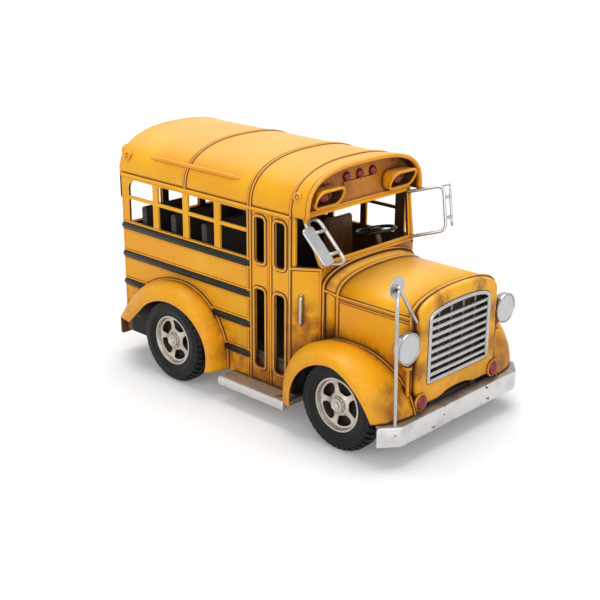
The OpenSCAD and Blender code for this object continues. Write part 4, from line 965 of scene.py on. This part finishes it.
def lamp_hood(inset=0.0):
    """Shell and rim wire of one hood, its wall on x = 0; an inset gives the liner inside it."""
    y0, z0, y1, z1 = HOOD_BOX

    def ring(share, d):
        pts = round_rect(y0 + d, z0 + d, y1 - d, z1 - d, HOOD_CORNER_R - d, 8)
        low = share * HOOD_REACH * HOOD_LOW_SHARE
        return [(low + (share * HOOD_REACH - low) * (z - z0) / (z1 - z0), y, z) for y, z in pts]

    wall, tip = inset + (0.3 if inset else 0.8), 0.94 if inset else 1.0
    shell = loft([ring(0, inset), ring(0.5, inset), ring(tip, inset), ring(tip, wall), ring(0.5, wall),
                  ring(0, wall)], around=True)
    return shell, tube(ring(1, 0.35), 0.6, loop=True)


BUTTONS, BUTTON_H, BUTTON_LEAN = (-75.7, 27.95), 7.65, 12
BUTTON = [(0.02, 0.95), (0.5, 0.9), (0.75, 0.6), (1.0, 0.5), (1.3, 0.95), (1.7, 1.05), (2.05, 0.7),
          (2.1, -0.6), (0.02, -0.6)]


def make_buttons():
    """Ringed lamps on the roof's sides."""
    y, z, lean = -roof_half(BUTTON_H), DRIP_Z + BUTTON_H, turned(90 - BUTTON_LEAN, "X")
    shape = grouped(lathe(BUTTON, 32), [moved(x, y, z) @ lean for x in BUTTONS])
    piece("roof_buttons", both(shape), "bead", node="button_lamps")


STEERING_AT, STEERING_TILT, STEERING_R = (25.1, 17, 69.6), -12, 8.25
STEERING_HUB = [(2.2, -0.75), (2.2, 0.3), (1.8, 0.7), (0.9, 0.9), (0.05, 0.95)]


def make_steering():
    shapes = [tube([polar(STEERING_R, a) for a in turns(56)], 0.75, loop=True)]
    for a in turns(3):
        end = polar(STEERING_R - 0.25, a)
        shapes.append(tube([end * 0.15 - Vector((0, 0, 0.5)), end * 0.6 - Vector((0, 0, 0.3)), end], 0.4))
    shapes.append(lathe(STEERING_HUB, 24))
    at = moved(*STEERING_AT) @ turned(STEERING_TILT, "Y")
    piece("steering_ring", placed(join(*shapes), at), "black", node="steering_wheel")


RAILS, RAIL_TOP, RAIL_PITCH, RAIL_H = 4, 63.1, 13.3, 2.8
RAIL_BEAD_OFF, RAIL_BEAD_R, LEAST_RAIL = 1.75, 0.36, 3


def seam_x(z, ahead):
    """Where the rear fender's seam crosses height z, ahead of the wheel or behind it."""
    b = REAR_SEAM
    return b[0] + (b[2] if ahead else -b[3]) * sqrt(max(0.0, 1 - ((z - b[1]) / b[4]) ** 2))


def rails(end_x, place):
    """Half-round rails on the right up to end_x, and the beads above and below them."""
    bars, beads = [], []
    y = -HALF_W - 0.1
    for i in range(RAILS):
        z = RAIL_TOP - RAIL_H / 2 - i * RAIL_PITCH
        spans = [(REAR_X + 0.4, end_x)]
        if z < REAR_SEAM[1] + REAR_SEAM[4] + 1:
            spans = [(REAR_X + 0.4, seam_x(z, False) + 1), (seam_x(z, True) - 0.4, end_x)]
        for start, end in spans:
            if end - start < LEAST_RAIL:
                continue
            bars.append(tube([(start, y, z), (end, y, z)], RAIL_H / 2, 16, flat=0.8, out=(0, 1, 0)))
            for dz in (-RAIL_BEAD_OFF, RAIL_BEAD_OFF):
                path = [(start, y + 0.1, z + dz), (end + 0.3, y + 0.1, z + dz)]
                beads.append(on_side(path, RAIL_BEAD_R, place))
    return join(*bars), join(*beads)


def make_rails():
    right, right_beads = rails(DOOR_X - 0.5, as_is)
    left, left_beads = rails(DOOR_END_X - 2.6, mirrored)
    piece("right_rails", right, "black", node="right_rub_rails")
    piece("left_rails", mirrored(left), "black", node="left_rub_rails")
    piece("rail_beads", join(right_beads, mirrored(left_beads)), "bead")


WIRE_Y, BEAD_R = -HALF_W - 0.05, 0.5
DOOR_LINES, DOOR_PANES = (1.6, 3.1, 13.4, 14.7, 25.2), (5.4, 16.7)
PANE_W, PANE_HEIGHTS = 5.9, ((17.7, 52.1), (63.1, 82.2))
REAR_PITCH, REAR_HALF, REAR_PANE, REAR_PANEL = 22.7, 9.5, (62.2, 81.6, 0.8), (44.5, 59.5, 1.6)
CORNER_ROD = [(REAR_X, -34, 89), (-81, -34.5, 89), (-81, -34.5, 74), (REAR_X, -34, 74)]
STEP_WELL, STEP_WELL_Y = (4.0, 12.0, 24.0, 24.0, 0.5), -33


def rear_line(y):
    return tube(upright(REAR_X + 0.2, y, SILL_Z + 10, DRIP_Z), 0.55)


def make_door_wires():
    """Wires that edge the door and its panes, the rear corners and the left side."""
    wires = [on_side(upright(x, WIRE_Y, SILL_Z, DRIP_Z - 1), BEAD_R, as_is) for x in DOOR_LINES]
    wires.append(rear_line(WIRE_Y + 0.3))
    for x in DOOR_PANES:
        for low, high in PANE_HEIGHTS:
            outline = round_rect(x - BEAD_R, low - BEAD_R, x + PANE_W + BEAD_R, high + BEAD_R, 2.4)
            path = [(px, WIRE_Y, pz) for px, pz in outline]
            wires.append(tube(path, BEAD_R, loop=True))
            # Band of grime and painted shade round each pane's wire.
            GRIME_AND_SHADE.append(tube(path, 0.95, loop=True, flat=0.22, out=(0, 1, 0)))
    piece("door_wires", join(*wires), "bead")
    front = tube(upright(DOOR_LINES[-1], -WIRE_Y, SILL_Z + 20, DRIP_Z - 1), BEAD_R)
    piece("left_wires", join(front, rear_line(-WIRE_Y - 0.3)), "bead")


def make_windshield_wires():
    foot, head = pillar(0) + Vector((0.1, -1.0, 0.3)), pillar(1) + Vector((0.1, -1.0, -0.2))
    other = [Vector((p.x, -p.y, p.z)) for p in (head, foot)]
    loop = tube(fillet([foot, head, *other], 1.2, loop=True), 0.6, loop=True)
    z = FOOT_Z - 0.6
    sill = on_side([(DOOR_END_X + 0.3, -HALF_W + 0.1, z), (FOOT_X, -FOOT_W - 0.1, z)], 0.55)
    post = tube(upright(FOOT_X - 0.3, -FOOT_W - 0.2, 30, FOOT_Z - 1), 0.45)
    piece("windshield_wires", join(loop, both(sill), both(post)), "bead")


def make_rear_details():
    """Wires round the rear panes, the dark step well behind the door and the rod on the rear corner."""
    frames = []
    for y, (low, high, r) in [(i * REAR_PITCH, REAR_PANE) for i in (-1, 0, 1)] + [(0, REAR_PANEL)]:
        outline = round_rect(y - REAR_HALF, low, y + REAR_HALF, high, r)
        frames.append(tube([(REAR_X - 0.1, py, pz) for py, pz in outline], BEAD_R, loop=True))
    piece("rear_pane_wires", join(*frames), "bead")
    well = placed(slab(round_rect(*STEP_WELL), 0.8, 0.2), moved(0, STEP_WELL_Y, 0) @ turned(-90, "Z"))
    piece("step_well", well, "cabin")
    piece("rear_corner_rod", tube(fillet(CORNER_ROD, 1.0), 0.4), "black")


CAMERA_AT = (324.58, -346.34, 205.42)
CAMERA_BACK, CAMERA_RIGHT, CAMERA_ROLL = (0.6471, -0.6845, 0.3360), (0.7267, 0.6870, 0.0), -0.398
CAMERA_LENS, SENSOR = 69.37, 36.0
AMBIENT, FLOOR_TONE, FLOOR_GLOW, FLOOR_HALF = 0.28, 0.85, 0.14, 6
FLOOR_CORNERS = ((-1, -1), (1, -1), (1, 1), (-1, 1))
# Name, strength, angle in degrees and direction of each lamp
SUNS = [("key", 2.0, 45, (-0.20, 0.15, 1.0)), ("fill", 1.0, 60, (0.40, -0.85, 0.55)),
        ("front", 0.6, 50, (0.95, -0.20, 0.45))]


def make_camera():
    back, right = Vector(CAMERA_BACK).normalized(), Vector(CAMERA_RIGHT).normalized()
    up, roll = back.cross(right), radians(CAMERA_ROLL)
    x = right * cos(roll) - up * sin(roll)
    y = right * sin(roll) + up * cos(roll)
    data = bpy.data.cameras.new("photo_camera")
    data.lens, data.sensor_width = CAMERA_LENS, SENSOR
    camera = add_object("photo_camera", data)
    aim = Matrix((x, y, back)).transposed().to_4x4()
    camera.matrix_world = Matrix.Translation(Vector(CAMERA_AT) * MM) @ aim
    bpy.context.scene.camera = camera


def seen_share(tree):
    """1 for rays that come from the camera, a reflection or glass."""
    path = new_node(tree, "LightPath")
    share = path.outputs["Is Camera Ray"]
    for key in ("Is Glossy Ray", "Is Transmission Ray"):
        node = new_node(tree, "Math", share, path.outputs[key])
        node.operation = "MAXIMUM"
        share = node.outputs[0]
    return share


def make_world():
    world = bpy.data.worlds.new("studio")
    world.use_nodes = True
    bpy.context.scene.world = world
    tree = world.node_tree
    plain, white = tree.nodes["Background"], new_node(tree, "Background", (1, 1, 1))
    put(tree, plain.inputs["Color"], (1, 1, 1))
    put(tree, plain.inputs["Strength"], AMBIENT)
    mix = new_node(tree, "MixShader", seen_share(tree), plain.outputs[0], white.outputs[0])
    put(tree, tree.nodes["World Output"].inputs["Surface"], mix.outputs[0])


def make_floor():
    mesh = bpy.data.meshes.new("floor")
    mesh.from_pydata([(x * FLOOR_HALF, y * FLOOR_HALF, 0) for x, y in FLOOR_CORNERS], [], [(0, 1, 2, 3)])
    floor = add_object("floor", mesh)
    material = bpy.data.materials.new("floor_white")
    material.use_nodes = True
    tree = material.node_tree
    tree.nodes.remove(tree.nodes["Principled BSDF"])
    diffuse = new_node(tree, "BsdfDiffuse", (FLOOR_TONE, FLOOR_TONE, FLOOR_TONE))
    glow = new_node(tree, "Emission", Strength=FLOOR_GLOW)
    lit = new_node(tree, "AddShader", diffuse.outputs[0], glow.outputs[0])
    mix = new_node(tree, "MixShader", seen_share(tree), diffuse.outputs[0], lit.outputs[0])
    put(tree, tree.nodes["Material Output"].inputs["Surface"], mix.outputs[0])
    mesh.materials.append(material)


def make_suns():
    for name, strength, angle, toward in SUNS:
        data = bpy.data.lights.new(name, "SUN")
        data.energy, data.angle = strength, radians(angle)
        lamp = add_object(name, data)
        lamp.rotation_euler = Vector(toward).to_track_quat("Z", "Y").to_euler()


dress_nodes()
make_roof()
make_chassis()
make_fenders()
make_well_shades()
make_hood()
make_front()
make_bumpers()
make_boards()
make_wheels()
make_mirrors()
make_hood_mirror()
make_handle()
make_headlights()
make_lamps()
make_buttons()
make_steering()
make_rails()
make_door_wires()
make_windshield_wires()
make_rear_details()
make_grime_and_shade()
make_camera()
make_world()
make_floor()
make_suns()
bpy.context.scene.view_settings.view_transform = "Standard"
